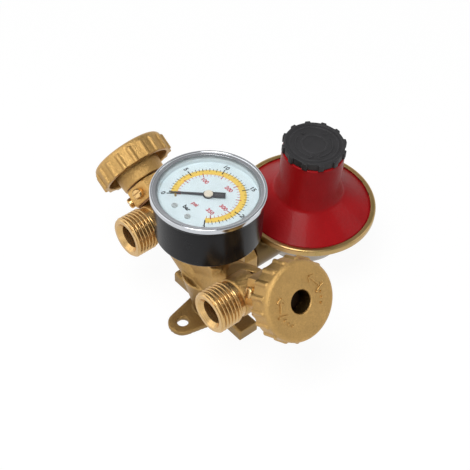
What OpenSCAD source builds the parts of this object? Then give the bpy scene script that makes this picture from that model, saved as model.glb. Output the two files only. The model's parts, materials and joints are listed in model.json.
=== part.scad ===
// Wall manifold for two gas cylinders: two wheel valves, a pressure gauge and an adjustable regulator.
// The foot's wall face is z = 0, the gauge's axis is x = y = 0, and the inlets point along -Y.

/* [Foot] */
// Width of the foot bar
foot_w = 50; // [46:1:60]
// Depth of the foot bar
foot_d = 10.8; // [9:0.2:14]
// Thickness of the foot bar
foot_t = 6; // [4.5:0.5:8]
// Bevel along the foot bar's upper edges
foot_bevel = 0.8; // [0.4:0.1:1.5]
// Distance from the gauge's axis to the middle of the foot
foot_y = 4; // [3:0.2:6]
// Distance between the two wall screw holes
lug_pitch = 40; // [36:1:46]
// Thickness of a lug
lug_t = 2.5; // [2:0.1:4]
// Radius of a lug's round end
lug_r = 7; // [6:0.25:8]
// Half width of a lug at the foot
lug_root = 10.4; // [8.6:0.2:12]
// Diameter of a wall screw hole
lug_hole_d = 5.5; // [4:0.1:6.5]

/* [Body] */
// Height of the gas passages over the wall
passage_z = 25; // [24:0.5:28]
// Diameter of the passages in the body
passage_d = 7; // [5:0.5:8]
// Radius of a valve arm
arm_r = 10; // [9.6:0.1:11]
// Angle of a valve arm over the wall
valve_tilt = 29.2; // [27:0.1:31]
// Half width of the centre block
block_x = 14; // [13:0.25:16]
// Distance from the gauge's axis to the block's front
block_front = 8; // [7.8:0.2:10]
// Distance from the gauge's axis to the block's back
block_back = 12; // [10:0.5:14]
// Height of the block's underside
block_low = 27; // [26:0.5:30]
// Height of the block's top
block_top = 43; // [42:0.5:46]
// Bevel on the block's upright edges
block_bevel = 2.4; // [1:0.2:3]
// Radius of the funnel at the wall
funnel_foot_r = 6.5; // [5.5:0.25:8]
// Radius of the funnel under the block
funnel_top_r = 13; // [11:0.5:14]
// Half width of the outlet boss
outlet_x = 10.2; // [9.6:0.2:11]
// Half height of the outlet boss
outlet_h = 9; // [8.4:0.2:10]
// Bevel on the outlet boss
outlet_bevel = 3.6; // [2:0.2:4.4]
// Distance from the gauge's axis to the outlet boss's end
outlet_end = 21.6; // [20:0.2:23]

/* [Inlets] */
// Height of an inlet over the wall
inlet_z = 40.6; // [39:0.2:43]
// Distance of an inlet from the gauge's axis
inlet_x = 30; // [29:0.5:34]
// Outer diameter of the inlet thread
inlet_thread_d = 20; // [18.5:0.25:21]
// Length of the inlet thread
inlet_thread_l = 12.4; // [9:0.2:13]
// Diameter of the smooth neck behind the thread
inlet_neck_d = 17.6; // [16:0.2:18.2]
// Diameter of the inlet's bore
inlet_bore_d = 11.2; // [9:0.2:12]
// Bevel at the inlet's end
inlet_bevel = 0.8; // [0.4:0.1:1.4]
// Distance from the gauge's axis to the inlet's end
inlet_end = 24.7; // [24:0.2:28]
// Distance from the gauge's axis to the nipple's seat
inlet_seat = 10.5; // [10.2:0.1:11.2]
// Diameter of the nipple's spigot
spigot_d = 15; // [14:0.2:15.8]
// Diameter of the arm's boss that the nipple screws into
inlet_boss_d = 18.8; // [18.4:0.1:19.4]

/* [Valves] */
// Diameter of the valve chamber
chamber_d = 13.2; // [12.4:0.2:13.6]
// Distance from the inlet's axis down to the valve seat
seat_s = 13; // [12:0.25:14]
// Distance from the inlet's axis up to the arm's end
arm_end = 9.7; // [9:0.1:11]
// Thickness of the bonnet's washer
bonnet_washer_t = 0.8; // [0.5:0.1:1.2]
// Diameter of the bonnet's thread
bonnet_thread_d = 14; // [13.8:0.1:14.3]
// Length of the bonnet's thread
bonnet_thread_l = 7.3; // [6:0.1:8]
// Size of the bonnet's hexagon across its flats
bonnet_af = 20; // [18:0.5:21]
// Height of the bonnet's hexagon
bonnet_h = 8.5; // [7:0.25:10]
// Diameter of the stem
stem_d = 7.9; // [7:0.1:8.2]
// Thickness of the stem's O-ring
seal_d = 1.6; // [1.2:0.1:1.8]
// Diameter of the stem's tip in the pad holder
tip_d = 4.8; // [4:0.2:5.4]
// Diameter of the pad holder
holder_d = 12; // [11.4:0.1:12.1]
// Length of the pad holder
holder_l = 8.2; // [7:0.2:8.6]
// Diameter of the rubber pad
pad_d = 10.4; // [9.4:0.1:10.6]
// Thickness of the rubber pad
pad_t = 2.4; // [1.8:0.1:2.8]
// Diameter of the lock screw
lock_d = 3.4; // [3:0.1:3.6]
// Diameter of the lock screw's head
lock_head_d = 5.2; // [4.8:0.2:6]
// Height of the lock screw's head
lock_head_h = 2.8; // [2:0.2:3.4]

/* [Handwheels] */
// Distance from the inlet's axis to the wheel's face
wheel_face = 36.7; // [35:0.1:39]
// Diameter of the wheel over its skirt
wheel_d = 36.2; // [34:0.2:39]
// Depth of the skirt
wheel_h = 10.8; // [9:0.2:13]
// Thickness of the wheel's disc
wheel_disc_t = 4; // [3:0.25:5]
// Thickness of the skirt
wheel_wall = 2; // [1.5:0.1:2.6]
// Rounding of the wheel's face
wheel_edge = 2; // [1:0.1:2.6]
// Diameter of the hub at its foot
hub_foot_d = 22; // [18:0.2:23]
// Diameter of the hub inside the skirt
hub_top_d = 23; // [22:0.2:26]
// Gap between the closed wheel's hub and the bonnet
hub_gap = 0.6; // [0.4:0.1:1]
// Diameter of the hole in the wheel's face
wheel_hole_d = 10.4; // [9.8:0.1:11.5]
// Depth of the hole in the wheel's face
wheel_hole_l = 11; // [9:0.25:12.5]
// Number of ridges round the skirt
ridges = 18; // [12:1:22]
// Radius of a ridge
ridge_r = 1.3; // [1:0.1:1.6]
// Height of a ridge over the skirt
ridge_rise = 0.9; // [0.5:0.1:1.1]
// Side of the square that drives the wheel
drive_square = 5.4; // [4.8:0.1:5.5]
// Diameter of the stud for the wheel's nut
stud_d = 5; // [4:0.1:5.2]
// Size of the wheel's nut across its flats
nut_af = 8; // [7:0.1:8.4]
// Height of the wheel's nut
nut_h = 4; // [3:0.2:5]

/* [Gauge] */
// Diameter of the gauge's case
case_d = 49.1; // [47:0.1:50]
// Wall of the gauge's case
case_wall = 1; // [0.8:0.1:1.4]
// Thickness of the case's back
case_back = 1.2; // [1:0.1:2]
// Thickness of the bezel's wall round the case
bezel_wall = 1.4; // [1:0.1:2]
// Height of the bezel
bezel_h = 3.6; // [3.2:0.1:5]
// Reach of the bezel's lip over the lens
bezel_reach = 1.4; // [1:0.1:2]
// Thickness of the bezel's lip
bezel_lip_t = 0.9; // [0.7:0.1:1.5]
// Height of the gauge from the case's back to the bezel's top
gauge_h = 24.6; // [24:0.1:27]
// Thickness of the lens
lens_t = 1.2; // [1:0.1:2]
// Thickness of the lens gasket
gasket_t = 0.6; // [0.5:0.1:1.2]
// Gap between the dial and the case's wall
dial_gap = 0.55; // [0.3:0.05:1]
// Width of the ring between the dial and the lens gasket
spacer_w = 0.8; // [0.6:0.1:1.2]
// Thickness of the dial
dial_t = 0.5; // [0.3:0.1:0.8]
// Depth of the dial below the bezel's top
dial_depth = 4.8; // [4.7:0.1:5.4]
// Direction of the dial's zero mark
dial_zero = 225; // [220:1:230]
// Half distance between the dial's two screws
dial_screw_x = 4.5; // [3.5:0.1:6]
// Diameter of the posts for the dial's screws
post_d = 3.2; // [2.6:0.1:3.4]
// Length of the pointer from its axis
pointer_l = 17.5; // [15:0.5:20]
// Length of the pointer's tail
pointer_tail = 7.5; // [5:0.5:10]
// Diameter of the pointer's boss
boss_d = 4; // [3:0.1:5]
// Radius at which the stop pin stands
stop_r = 14.5; // [12:0.5:15]
// Size of the socket's hexagon across its flats
socket_af = 14; // [13.4:0.1:17]
// Height of the socket's hexagon
socket_h = 10.5; // [8:0.5:13]
// Diameter of the socket's thread
socket_thread_d = 13; // [11:0.1:13.2]
// Length of the socket's thread
socket_thread_l = 10; // [8:0.5:11]
// Thickness of the washer under the socket
socket_washer_t = 1; // [0.6:0.1:1.5]

/* [Movement] */
// Module of the gear teeth
tooth_m = 0.3; // [0.29:0.005:0.31]
// Number of teeth on the pinion
pinion_z = 12; // [12:1:12]
// Turns of the pinion for one turn of the sector
gear_ratio = 6; // [6:1:6]
// Distance from the sector's axis to its tail pin
tail_l = 3; // [2.6:0.1:3.2]
// Thickness of a movement plate
plate_t = 1; // [0.8:0.1:1.2]
// Gap between the movement plates
plate_gap = 6; // [5.8:0.1:6.4]
// Diameter of an arbor
arbor_d = 1.2; // [1:0.1:1.4]
// Width of the flattened tube's section
tube_w = 1.6; // [1.4:0.1:1.8]
// Height of the flattened tube's section
tube_h = 6; // [5:0.1:6.4]

/* [Regulator] */
// Distance from the gauge's axis to the regulator's axis
regulator_y = 60.8; // [60:0.2:64]
// Lean of the regulator about its inlet
regulator_lean = 3.5; // [0:0.5:6]
// Diameter of the rolled rim
rim_d = 67.4; // [66.8:0.2:70]
// Height of the rim's top over the inlet's axis
rim_top = 11.5; // [11.5:0.1:13]
// Height of the rim
rim_h = 3.9; // [3.8:0.1:4.6]
// Inner diameter of the rim's rolled lip
rim_lip_d = 61.8; // [60.6:0.2:62.4]
// Thickness of the rim's rolled lip
rim_lip_t = 0.9; // [0.7:0.1:1.2]
// Wall of the rim
rim_wall = 1.4; // [1.2:0.1:1.8]
// Depth of the bowl below the inlet's axis
bowl_low = 12.5; // [12.2:0.1:14]
// Radius of the bowl's flat underside
bowl_foot_r = 19; // [17:0.5:21]
// Wall of the bowl
bowl_wall = 2; // [1.8:0.1:2.4]
// Diameter of the neck and of the outlet's boss
neck_d = 19; // [18.4:0.2:20]
// Distance from the regulator's axis to the outlet's end
outlet_l = 31; // [30:0.5:33]
// Diameter of the outlet's threaded hole
outlet_d = 11.4; // [10:0.1:12.4]
// Length of the outlet's threaded hole
outlet_hole_l = 11; // [8:0.5:11]
// Thickness of the red bonnet's wall
cone_wall = 1.8; // [1.4:0.1:2.2]
// Thickness of the bonnet's and the diaphragm's clamped edge
clamp_t = 1; // [0.8:0.1:1.1]
// Diameter of the collar where the cone meets the tower
collar_d = 33; // [32:0.2:35]
// Height of the collar over the inlet's axis
collar_z = 20.8; // [19:0.1:23]
// Diameter of the tower
tower_d = 29.6; // [28.8:0.1:30.4]
// Height of the tower's top over the inlet's axis
tower_top = 45; // [43:0.2:47]
// Diameter of the tower's threaded bore
tower_bore_d = 25.2; // [24.6:0.1:25.6]
// Diameter of the cap's head
cap_d = 28.8; // [28:0.1:29.6]
// Height of the cap's head
cap_h = 4; // [3:0.1:5.5]
// Number of ribs round the cap
cap_ribs = 12; // [8:1:16]
// Radius of a rib
cap_rib_r = 1.6; // [1.2:0.1:2]
// Height of a rib over the cap's head
cap_rib_rise = 0.9; // [0.5:0.1:1.2]
// Length of the cap's threaded plug
cap_plug_l = 8.5; // [7:0.25:9.5]
// Wire of the adjusting spring
spring_wire = 2.2; // [1.6:0.1:2.4]
// Mean radius of the adjusting spring
spring_r = 9.8; // [9.2:0.1:10]
// Turns of the adjusting spring
spring_turns = 6; // [5:1:7]
// Diameter of the link nipple
link_d = 13; // [11:0.1:13.4]
// Length of the link nipple in each of its holes
link_l = 9; // [7:0.2:9.4]
// Thickness of the link washer
link_washer_t = 1; // [0.6:0.1:1.4]
// Diameter of the nozzle's thread
nozzle_d = 8; // [7.6:0.1:8.4]
// Diameter of the valve slider
slider_d = 6; // [5.8:0.1:6.2]
// Height of the lever's short arm
lever_up = 5.5; // [5.4:0.1:5.8]
// Length of the lever's long arm
lever_l = 8.5; // [8.3:0.1:8.8]
// Travel of the diaphragm
diaphragm_travel = 2.2; // [1.8:0.1:2.4]

/* [Hidden] */

$fn = 64;
// Clearance round a screwed or pressed part
fit = 0.03;
// Clearance round a part that turns or slides in a hole
run = 0.05;
// Overlap of cutting tools past a face
cut = 0.5;
// Side of the body that a valve is on
LEFT = -1;
RIGHT = 1;

forged = [0.70, 0.55, 0.30];
machined = [0.86, 0.70, 0.42];
steel = [0.70, 0.71, 0.73];
rubber = [0.08, 0.08, 0.08];
chromate = [0.62, 0.52, 0.27];
black = [0.11, 0.11, 0.12];

// Valve levels along an arm, counted from the inlet's axis
arm_l = inlet_x / cos(valve_tilt);
// The arms' passages meet in a round chamber that the outlet runs from
arms_meet_z = inlet_z - inlet_x * tan(valve_tilt);
junction_room = 0.5;
junction_r = passage_d / 2 + abs(passage_z - arms_meet_z) + junction_room;
gauge_passage_r = 1.75;
thread_relief = 0.2;
bore_room = 0.4;
washer_inset = 0.3;
bonnet_low = arm_end + bonnet_washer_t;
bonnet_top = bonnet_low + bonnet_h;
thread_low = bonnet_low - bonnet_thread_l;
hub_low = bonnet_top + hub_gap;
nut_seat = wheel_face - wheel_hole_l;
skirt_low = wheel_face - wheel_h;
disc_low = wheel_face - wheel_disc_t;
seal_step = 1.4;
seal_room = 0.4;
seal_low = thread_low + seal_step;
seal_h = seal_d + seal_room;
pad_gap = 0.05;
pad_low = pad_gap - seat_s;
pad_recess = 1.6;
holder_low = pad_low + pad_t - pad_recess;
holder_top = holder_low + holder_l;
tip_l = 3.8;
tip_gap = 0.1;
spigot_gap = 0.7;
spigot_end = chamber_d / 2 + spigot_gap;
lock_s = bonnet_low + bonnet_h / 2;
// The lock screws sit on two neighbouring flats of a bonnet's hexagon
hex_turn = 30;
lock_turns = [-hex_turn, hex_turn];

// Gauge levels, counted from the case's back
gauge_z = block_top + socket_washer_t + socket_h;
socket_shoulder = 2;
socket_neck_r = socket_af / 2 - socket_shoulder;
case_r = case_d / 2;
bezel_in_r = case_r + run;
bezel_r = bezel_in_r + bezel_wall;
bezel_lip_r = bezel_in_r - bezel_reach;
dial_r = case_r - case_wall - dial_gap;
lens_top = gauge_h - bezel_lip_t;
lens_low = lens_top - lens_t;
case_top = lens_low - gasket_t;
dial_top = gauge_h - dial_depth;
dial_low = dial_top - dial_t;
pointer_gap = 0.7;
pointer_low = dial_top + pointer_gap;
pointer_t = 0.4;
pointer_half = 0.7;
// The stop pin stands beside the pointer at zero, just clear of it
stop_pin_r = 0.5;
stop_gap = 0.1;
stop_at = dial_zero + asin((pointer_half + stop_pin_r + stop_gap) / stop_r);
boss_gap = 0.2;
pointer_boss_low = dial_top + boss_gap;
pointer_boss_h = 1.4;
boss_roof = 0.5;
arbor_top = pointer_boss_low + pointer_boss_h - boss_roof;
bearing_gap = 0.1;
frame_low = 5;
frame_gap_low = frame_low + plate_t;
frame_top = frame_gap_low + plate_gap;
sector_rise = 2.4;
sector_low = frame_gap_low + sector_rise;
gear_t = 1;
link_gap = 0.2;
link_low = sector_low + gear_t + link_gap;
link_t = 0.6;
hair_drop = 1.2;
hair_low = frame_top - hair_drop;
hair_h = 0.5;
gear_distance = tooth_m * pinion_z * (1 + gear_ratio) / 2;
sector_z = pinion_z * gear_ratio;
tail_x = -gear_distance - tail_l;
arbor_r = arbor_d / 2;
tail_pin_r = 0.45;
tube_gap = 4.5;
tube_rise = 2.2;
tube_r = case_r - case_wall - tube_gap;
tube_mid = frame_gap_low + tube_rise;
tube_arm_w = 5;
tube_cap_l = 3;
tube_root = 60;
tube_tip = -150;
// The dial's posts stand just inside the tube
post_r = post_d / 2;
post_gap = 0.6;
post_at = tube_r - tube_w / 2 - post_r - post_gap;
dial_screw_y = sqrt(post_at ^ 2 - dial_screw_x ^ 2);
dial_screw_r = 0.7;
dial_screw_l = 4;
pillar_r = 1.1;
front_pillar = [4.5, 5.5];
pillar_step = 0.9;
rear_pillar = [-gear_distance - pillar_step, 6.5];
pillars = [
    front_pillar, [front_pillar.x, -front_pillar.y], rear_pillar, [rear_pillar.x, -rear_pillar.y]
];

// Regulator levels, counted from its inlet's axis
rim_low = rim_top - rim_h;
rim_r = rim_d / 2;
clamp_r = rim_r - rim_wall;
flange_top = rim_top - rim_lip_t;
flange_low = flange_top - clamp_t;
diaphragm_low = flange_low - clamp_t;
bowl_floor = -bowl_low + bowl_wall;
cavity_step = 4;
cavity_r = clamp_r - cavity_step;
cavity_foot_r = bowl_foot_r - bowl_wall;
neck_r = neck_d / 2;
neck_end = regulator_y - outlet_end - link_washer_t;
link_r = link_d / 2;
link_wall = 2.5;
link_bore_r = link_r - link_wall;
nozzle_seat = 15;
nozzle_root = 24;
nozzle_face = 17;
nozzle_wall = 2.5;
nozzle_boss_r = nozzle_d / 2 + nozzle_wall;
sleeve_end = 10.6;
sleeve_wall = 1.5;
sleeve_r = slider_d / 2 + sleeve_wall;
pivot_y = lever_l;
pivot_z = -lever_up;
lever_rest = asin(diaphragm_travel / 2 / lever_l);
slider_travel = 2 * lever_rest * PI / 180 * lever_up;
slider_pad_t = 1.5;
slider_pad_gap = 0.06;
slider_recess = 0.5;
slider_lip = 0.6;
slider_back = 2.2;
slider_pad_low = nozzle_seat - slider_travel - slider_pad_gap;
slider_low = slider_pad_low - slider_pad_t + slider_recess;
slider_high = lever_l - slider_back;
short_ball_r = 1.4;
long_ball_r = 1;
slot_room = 0.1;
lever_half = 1.5;
lever_pin_r = 0.8;
ear_gap = 0.7;
ear_t = 2.8;
ear_w = 3.6;
ear_over = 1.6;
ear_in = lever_half + ear_gap;
ear_out = ear_in + ear_t;
plate_low = flange_low;
stack_plate_t = 1.2;
stack_boss_h = 2.2;
stack_stem_r = 2.4;
stack_plate_r = 15;
plate_top = plate_low + stack_plate_t;
stem_boss_top = plate_top + stack_boss_h;
spring_room = 0.4;
spring_pilot_r = spring_r - spring_wire / 2 - spring_room;
cap_gap = 0.3;
cap_low = tower_top + cap_gap;
cap_top = cap_low + cap_h;
plug_low = cap_low - cap_plug_l;
plug_room = 0.07;
plug_r = tower_bore_d / 2 - plug_room;
spring_plate_t = 1.5;
spring_plate_top = plug_low - run;
spring_top = spring_plate_top - spring_plate_t;

// Points on an arc, from one angle to another
function arc(c, r, from, to, n = 6) =
    [for (i = [0 : n]) let (a = from + (to - from) * i / n) [c.x + r * cos(a), c.y + r * sin(a)]];

// A rectangle's corners with each one cut off at 45 degrees
function bevelled(x0, y0, x1, y1, b) = [
    [x0 + b, y0], [x1 - b, y0], [x1, y0 + b], [x1, y1 - b],
    [x1 - b, y1], [x0 + b, y1], [x0, y1 - b], [x0, y0 + b]
];

// Involute gear teeth, with a tooth's half angle thinned at the pitch circle for play
pressure_angle = 25;
tooth_top = 0.8;
tooth_root = 1.05;
tooth_play = 0.03;
function involute_angle(a) = tan(a) * 180 / PI - a;
function half_tooth(z, r) =
    let (pitch_r = z * tooth_m / 2, base_r = pitch_r * cos(pressure_angle))
    90 / z - tooth_play / pitch_r * 180 / PI
    + involute_angle(pressure_angle) - involute_angle(acos(min(1, base_r / r)));
function flank(z) =
    let (pitch_r = z * tooth_m / 2)
    let (low = pitch_r - tooth_root * tooth_m, high = pitch_r + tooth_top * tooth_m)
    [for (i = [0 : 4]) let (r = low + (high - low) * i / 4) [r, half_tooth(z, r)]];
function tooth(z, at) = concat(
    [for (p = flank(z)) p[0] * [cos(at - p[1]), sin(at - p[1])]],
    [for (i = [4 : -1 : 0]) let (p = flank(z)[i]) p[0] * [cos(at + p[1]), sin(at + p[1])]]
);
function teeth(z, first, last) = [for (k = [first : last]) each tooth(z, k * 360 / z)];

// A round wire swept along a helix, as points ring by ring
function helix_ring(r, z, a, wire, sides) =
    [for (j = [0 : sides - 1]) let (b = 360 * j / sides, d = r + wire / 2 * cos(b))
        [d * cos(a), d * sin(a), z + wire / 2 * sin(b)]];
function tube_faces(rings, sides) = concat(
    [[for (j = [0 : sides - 1]) j]],
    [for (i = [0 : rings - 2], j = [0 : sides - 1])
        let (k = (j + 1) % sides) [i * sides + j, (i + 1) * sides + j, (i + 1) * sides + k, i * sides + k]],
    [[for (j = [sides - 1 : -1 : 0]) (rings - 1) * sides + j]]
);

// Local frames: a valve's axis, an inlet's axis, the gauge and the regulator
module valve_frame(side) {
    translate([side * inlet_x, 0, inlet_z]) rotate([0, side * (90 - valve_tilt), 0]) children();
}

module inlet_frame(side) {
    translate([side * inlet_x, 0, inlet_z]) rotate([90, 0, 0]) children();
}

module gauge_frame() {
    translate([0, 0, gauge_z]) children();
}

module regulator_frame() {
    translate([0, regulator_y, passage_z]) rotate([0, regulator_lean, 0]) children();
}

// A cylinder between two heights
module rod(r, low, high) {
    translate([0, 0, low]) cylinder(r = r, h = high - low);
}

// A cylinder between two distances along -Y
module rod_y(r, near, far) {
    rotate([90, 0, 0]) rod(r, near, far);
}

// A flat ring
module ring(r_in, r_out, low, high) {
    rotate_extrude() translate([r_in, low]) square([r_out - r_in, high - low]);
}

// A hexagon prism, measured across its flats
module hexagon(af, low, high) {
    translate([0, 0, low]) cylinder(r = af / sqrt(3), h = high - low, $fn = 6);
}

// Body and inlets
module lug(y) {
    // The lug's sides run from the foot to where they touch its round end
    side = y > foot_y ? 1 : -1;
    reach = lug_pitch / 2 - foot_d / 2;
    lean = asin((lug_root - lug_r) / sqrt(reach ^ 2 + (lug_root - lug_r) ^ 2));
    touch = [lug_r * cos(lean), lug_r * sin(lean)];
    linear_extrude(lug_t) {
        translate([0, y]) circle(lug_r);
        polygon([
            [-lug_root, foot_y], [lug_root, foot_y], [lug_root, y - side * reach],
            [touch.x, y + side * touch.y], [-touch.x, y + side * touch.y], [-lug_root, y - side * reach]
        ]);
    }
}

module foot_bar() {
    translate([-foot_w / 2, foot_y, 0]) rotate([90, 0, 90]) linear_extrude(foot_w) polygon([
        [-foot_d / 2, 0], [foot_d / 2, 0],
        [foot_d / 2, foot_t - foot_bevel], [foot_d / 2 - foot_bevel, foot_t],
        [foot_bevel - foot_d / 2, foot_t], [-foot_d / 2, foot_t - foot_bevel]
    ]);
}

// An arm ends at the middle of the body, where it meets the other one in a mitre
module valve_arm(side) {
    half = 2 * (arm_l + arm_end);
    intersection() {
        valve_frame(side) rod(arm_r, -arm_l - arm_r, arm_end);
        translate([side * half / 2, 0, 0]) cube(half, center = true);
    }
    inlet_frame(side) rod(inlet_boss_d / 2, 0, inlet_seat);
}

module valve_passages(side) {
    valve_frame(side) {
        rod(passage_d / 2, -arm_l, 0);
        rod(chamber_d / 2, -seat_s, thread_low);
        rod(bonnet_thread_d / 2 + fit, thread_low - thread_relief, arm_end + cut);
    }
    inlet_frame(side) {
        rod(inlet_bore_d / 2 + bore_room, 0, inlet_seat);
        rod(spigot_d / 2 + fit, spigot_end - thread_relief, inlet_seat + cut);
    }
}

module manifold_body() {
    color(forged) difference() {
        union() {
            foot_bar();
            for (end = [-1, 1]) lug(foot_y + end * lug_pitch / 2);
            cylinder(r1 = funnel_foot_r, r2 = funnel_top_r, h = block_low);
            translate([0, 0, block_low]) linear_extrude(block_top - block_low)
                polygon(bevelled(-block_x, -block_front, block_x, block_back, block_bevel));
            translate([0, outlet_end, passage_z]) rotate([90, 0, 0]) linear_extrude(outlet_end)
                polygon(bevelled(-outlet_x, -outlet_h, outlet_x, outlet_h, outlet_bevel));
            for (side = [LEFT, RIGHT]) valve_arm(side);
        }
        for (side = [LEFT, RIGHT]) valve_passages(side);
        for (end = [-1, 1])
            translate([0, foot_y + end * lug_pitch / 2, 0]) rod(lug_hole_d / 2, -cut, lug_t + cut);
        translate([0, 0, arms_meet_z]) sphere(junction_r);
        rod(gauge_passage_r, arms_meet_z - junction_r - junction_room, block_top);
        rod(socket_thread_d / 2 + fit, block_top - socket_thread_l - thread_relief, block_top + cut);
        translate([0, 0, passage_z]) {
            rod_y(passage_d / 2, -outlet_end, 0);
            rod_y(link_r + fit, -outlet_end - cut, -outlet_end + link_l + thread_relief);
        }
    }
}

module inlet_nipple(side) {
    thread_r = inlet_thread_d / 2;
    thread_near = inlet_end - inlet_thread_l;
    color(machined) inlet_frame(side) rotate_extrude() polygon([
        [inlet_bore_d / 2, spigot_end], [spigot_d / 2, spigot_end], [spigot_d / 2, inlet_seat],
        [inlet_neck_d / 2, inlet_seat], [inlet_neck_d / 2, thread_near], [thread_r, thread_near],
        [thread_r, inlet_end - inlet_bevel], [thread_r - inlet_bevel, inlet_end],
        [inlet_bore_d / 2, inlet_end]
    ]);
}

// Valves
module bonnet(side) {
    corner_r = bonnet_af / sqrt(3);
    chamfer = 0.8;
    color(forged) valve_frame(side) difference() {
        union() {
            rod(bonnet_thread_d / 2, thread_low, bonnet_low);
            intersection() {
                rotate([0, 0, hex_turn]) hexagon(bonnet_af, bonnet_low, bonnet_top);
                translate([0, 0, bonnet_low])
                    cylinder(r1 = corner_r + bonnet_h, r2 = corner_r - chamfer, h = bonnet_h);
            }
        }
        rod(stem_d / 2 + run, thread_low - cut, bonnet_top + cut);
        rod(stem_d / 2 + seal_d + fit, seal_low, seal_low + seal_h);
        for (a = lock_turns) rotate([0, 0, a]) translate([0, 0, lock_s])
            rod_y(lock_d / 2 + fit, 0, bonnet_af);
    }
}

module bonnet_washer(side) {
    color("peru") valve_frame(side)
        ring(bonnet_thread_d / 2 + fit, bonnet_af / 2 - washer_inset, arm_end, bonnet_low);
}

module lock_screws(side) {
    head = bonnet_af / 2;
    dome = 1;
    stem_gap = 1;
    tip = stem_d / 2 + stem_gap;
    color(machined) valve_frame(side) for (a = lock_turns)
        rotate([0, 0, a]) translate([0, 0, lock_s]) rotate([90, 0, 0]) rotate_extrude() polygon(concat(
            [[0, tip], [lock_d / 2, tip], [lock_d / 2, head], [lock_head_d / 2, head]],
            arc([lock_head_d / 2 - dome, head + lock_head_h - dome], dome, 0, 90),
            [[0, head + lock_head_h]]
        ));
}

module stem(side) {
    stud_over = 0.6;
    color(steel) valve_frame(side) {
        rod(tip_d / 2, holder_top - tip_l, holder_top + tip_gap);
        rod(stem_d / 2, holder_top + tip_gap, hub_low);
        translate([0, 0, (hub_low + nut_seat) / 2])
            cube([drive_square, drive_square, nut_seat - hub_low], center = true);
        rod(stud_d / 2, nut_seat, nut_seat + nut_h + stud_over);
    }
}

module stem_seal(side) {
    color(rubber) valve_frame(side) translate([0, 0, seal_low + seal_h / 2])
        rotate_extrude() translate([stem_d / 2 + seal_d / 2 + fit / 2, 0]) circle(d = seal_d, $fn = 32);
}

module pad_holder(side) {
    color(machined) valve_frame(side) difference() {
        rod(holder_d / 2, holder_low, holder_top);
        rod(pad_d / 2 + fit, holder_low - cut, holder_low + pad_recess);
        rod(tip_d / 2 + run, holder_top - tip_l - tip_gap, holder_top + cut);
    }
}

module seat_pad(side) {
    color(rubber) valve_frame(side) rod(pad_d / 2, pad_low, pad_low + pad_t);
}

// The ridges end below the wheel's rounded edge, each on a slope
module wheel_ridges() {
    out_r = wheel_d / 2 + ridge_rise;
    slope = 2;
    ridge_top = wheel_face - wheel_edge - slope;
    intersection() {
        translate([0, 0, skirt_low]) linear_extrude(wheel_h - wheel_edge)
            for (i = [0 : ridges - 1])
                rotate(360 * i / ridges) translate([out_r - ridge_r, 0]) circle(ridge_r);
        rotate_extrude() polygon([
            [hub_top_d / 2, skirt_low], [out_r + cut, skirt_low], [out_r + cut, ridge_top - cut],
            [out_r - slope, ridge_top + slope], [hub_top_d / 2, ridge_top + slope]
        ]);
    }
}

module handwheel(side) {
    hole = drive_square + 2 * run;
    wheel_r = wheel_d / 2;
    hole_r = wheel_hole_d / 2;
    hole_bevel = 0.5;
    color(forged) valve_frame(side) difference() {
        union() {
            rotate_extrude() polygon(concat(
                [
                    [0, hub_low], [hub_foot_d / 2, hub_low], [hub_top_d / 2, skirt_low],
                    [hub_top_d / 2, disc_low], [wheel_r - wheel_wall, disc_low],
                    [wheel_r - wheel_wall, skirt_low], [wheel_r, skirt_low]
                ],
                arc([wheel_r - wheel_edge, wheel_face - wheel_edge], wheel_edge, 0, 90),
                [
                    [hole_r + hole_bevel, wheel_face], [hole_r, wheel_face - hole_bevel],
                    [hole_r, nut_seat], [0, nut_seat]
                ]
            ));
            wheel_ridges();
        }
        translate([0, 0, (hub_low + nut_seat) / 2])
            cube([hole, hole, nut_seat - hub_low + 2 * cut], center = true);
    }
}

module wheel_nut(side) {
    color(steel) valve_frame(side) difference() {
        hexagon(nut_af, nut_seat, nut_seat + nut_h);
        rod(stud_d / 2 + fit, nut_seat - cut, nut_seat + nut_h + cut);
    }
}

// Gauge
module gauge_socket() {
    arm_gap = 0.1;
    bore_r = 1.2;
    bore_end = 2.5;
    color(machined) gauge_frame() difference() {
        union() {
            rod(socket_thread_d / 2, -socket_h - socket_washer_t - socket_thread_l, -socket_h);
            hexagon(socket_af, -socket_h, 0);
            rod(socket_neck_r, 0, frame_low);
            rotate([0, 0, tube_root]) translate([0, -tube_arm_w / 2, case_back + arm_gap]) {
                cube([tube_r + tube_w, tube_arm_w, frame_low - case_back - 2 * arm_gap]);
                translate([tube_r - tube_w, 0, 0])
                    cube([2 * tube_w, tube_arm_w, tube_mid + tube_h / 2 - case_back]);
            }
        }
        rod(bore_r, -socket_h - socket_washer_t - socket_thread_l - cut, frame_low - bore_end);
    }
}

module gauge_washer() {
    color("peru") gauge_frame()
        ring(socket_thread_d / 2 + fit, socket_af / 2 + washer_inset, -socket_h - socket_washer_t, -socket_h);
}

module dial_screw_places() {
    for (s = [-1, 1]) translate([s * dial_screw_x, -dial_screw_y, 0]) children();
}

module gauge_case() {
    foot_r = 1.5;
    color(black) gauge_frame() difference() {
        union() {
            rotate_extrude() polygon(concat(
                [[0, 0]],
                arc([case_r - foot_r, foot_r], foot_r, -90, 0),
                [
                    [case_r, case_top], [case_r - case_wall, case_top],
                    [case_r - case_wall, case_back], [0, case_back]
                ]
            ));
            dial_screw_places() rod(post_r, 0, dial_low);
        }
        rod(socket_neck_r + fit, -cut, case_back + cut);
        dial_screw_places() rod(dial_screw_r + fit, dial_low - dial_screw_l - thread_relief, dial_low + cut);
    }
}

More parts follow.
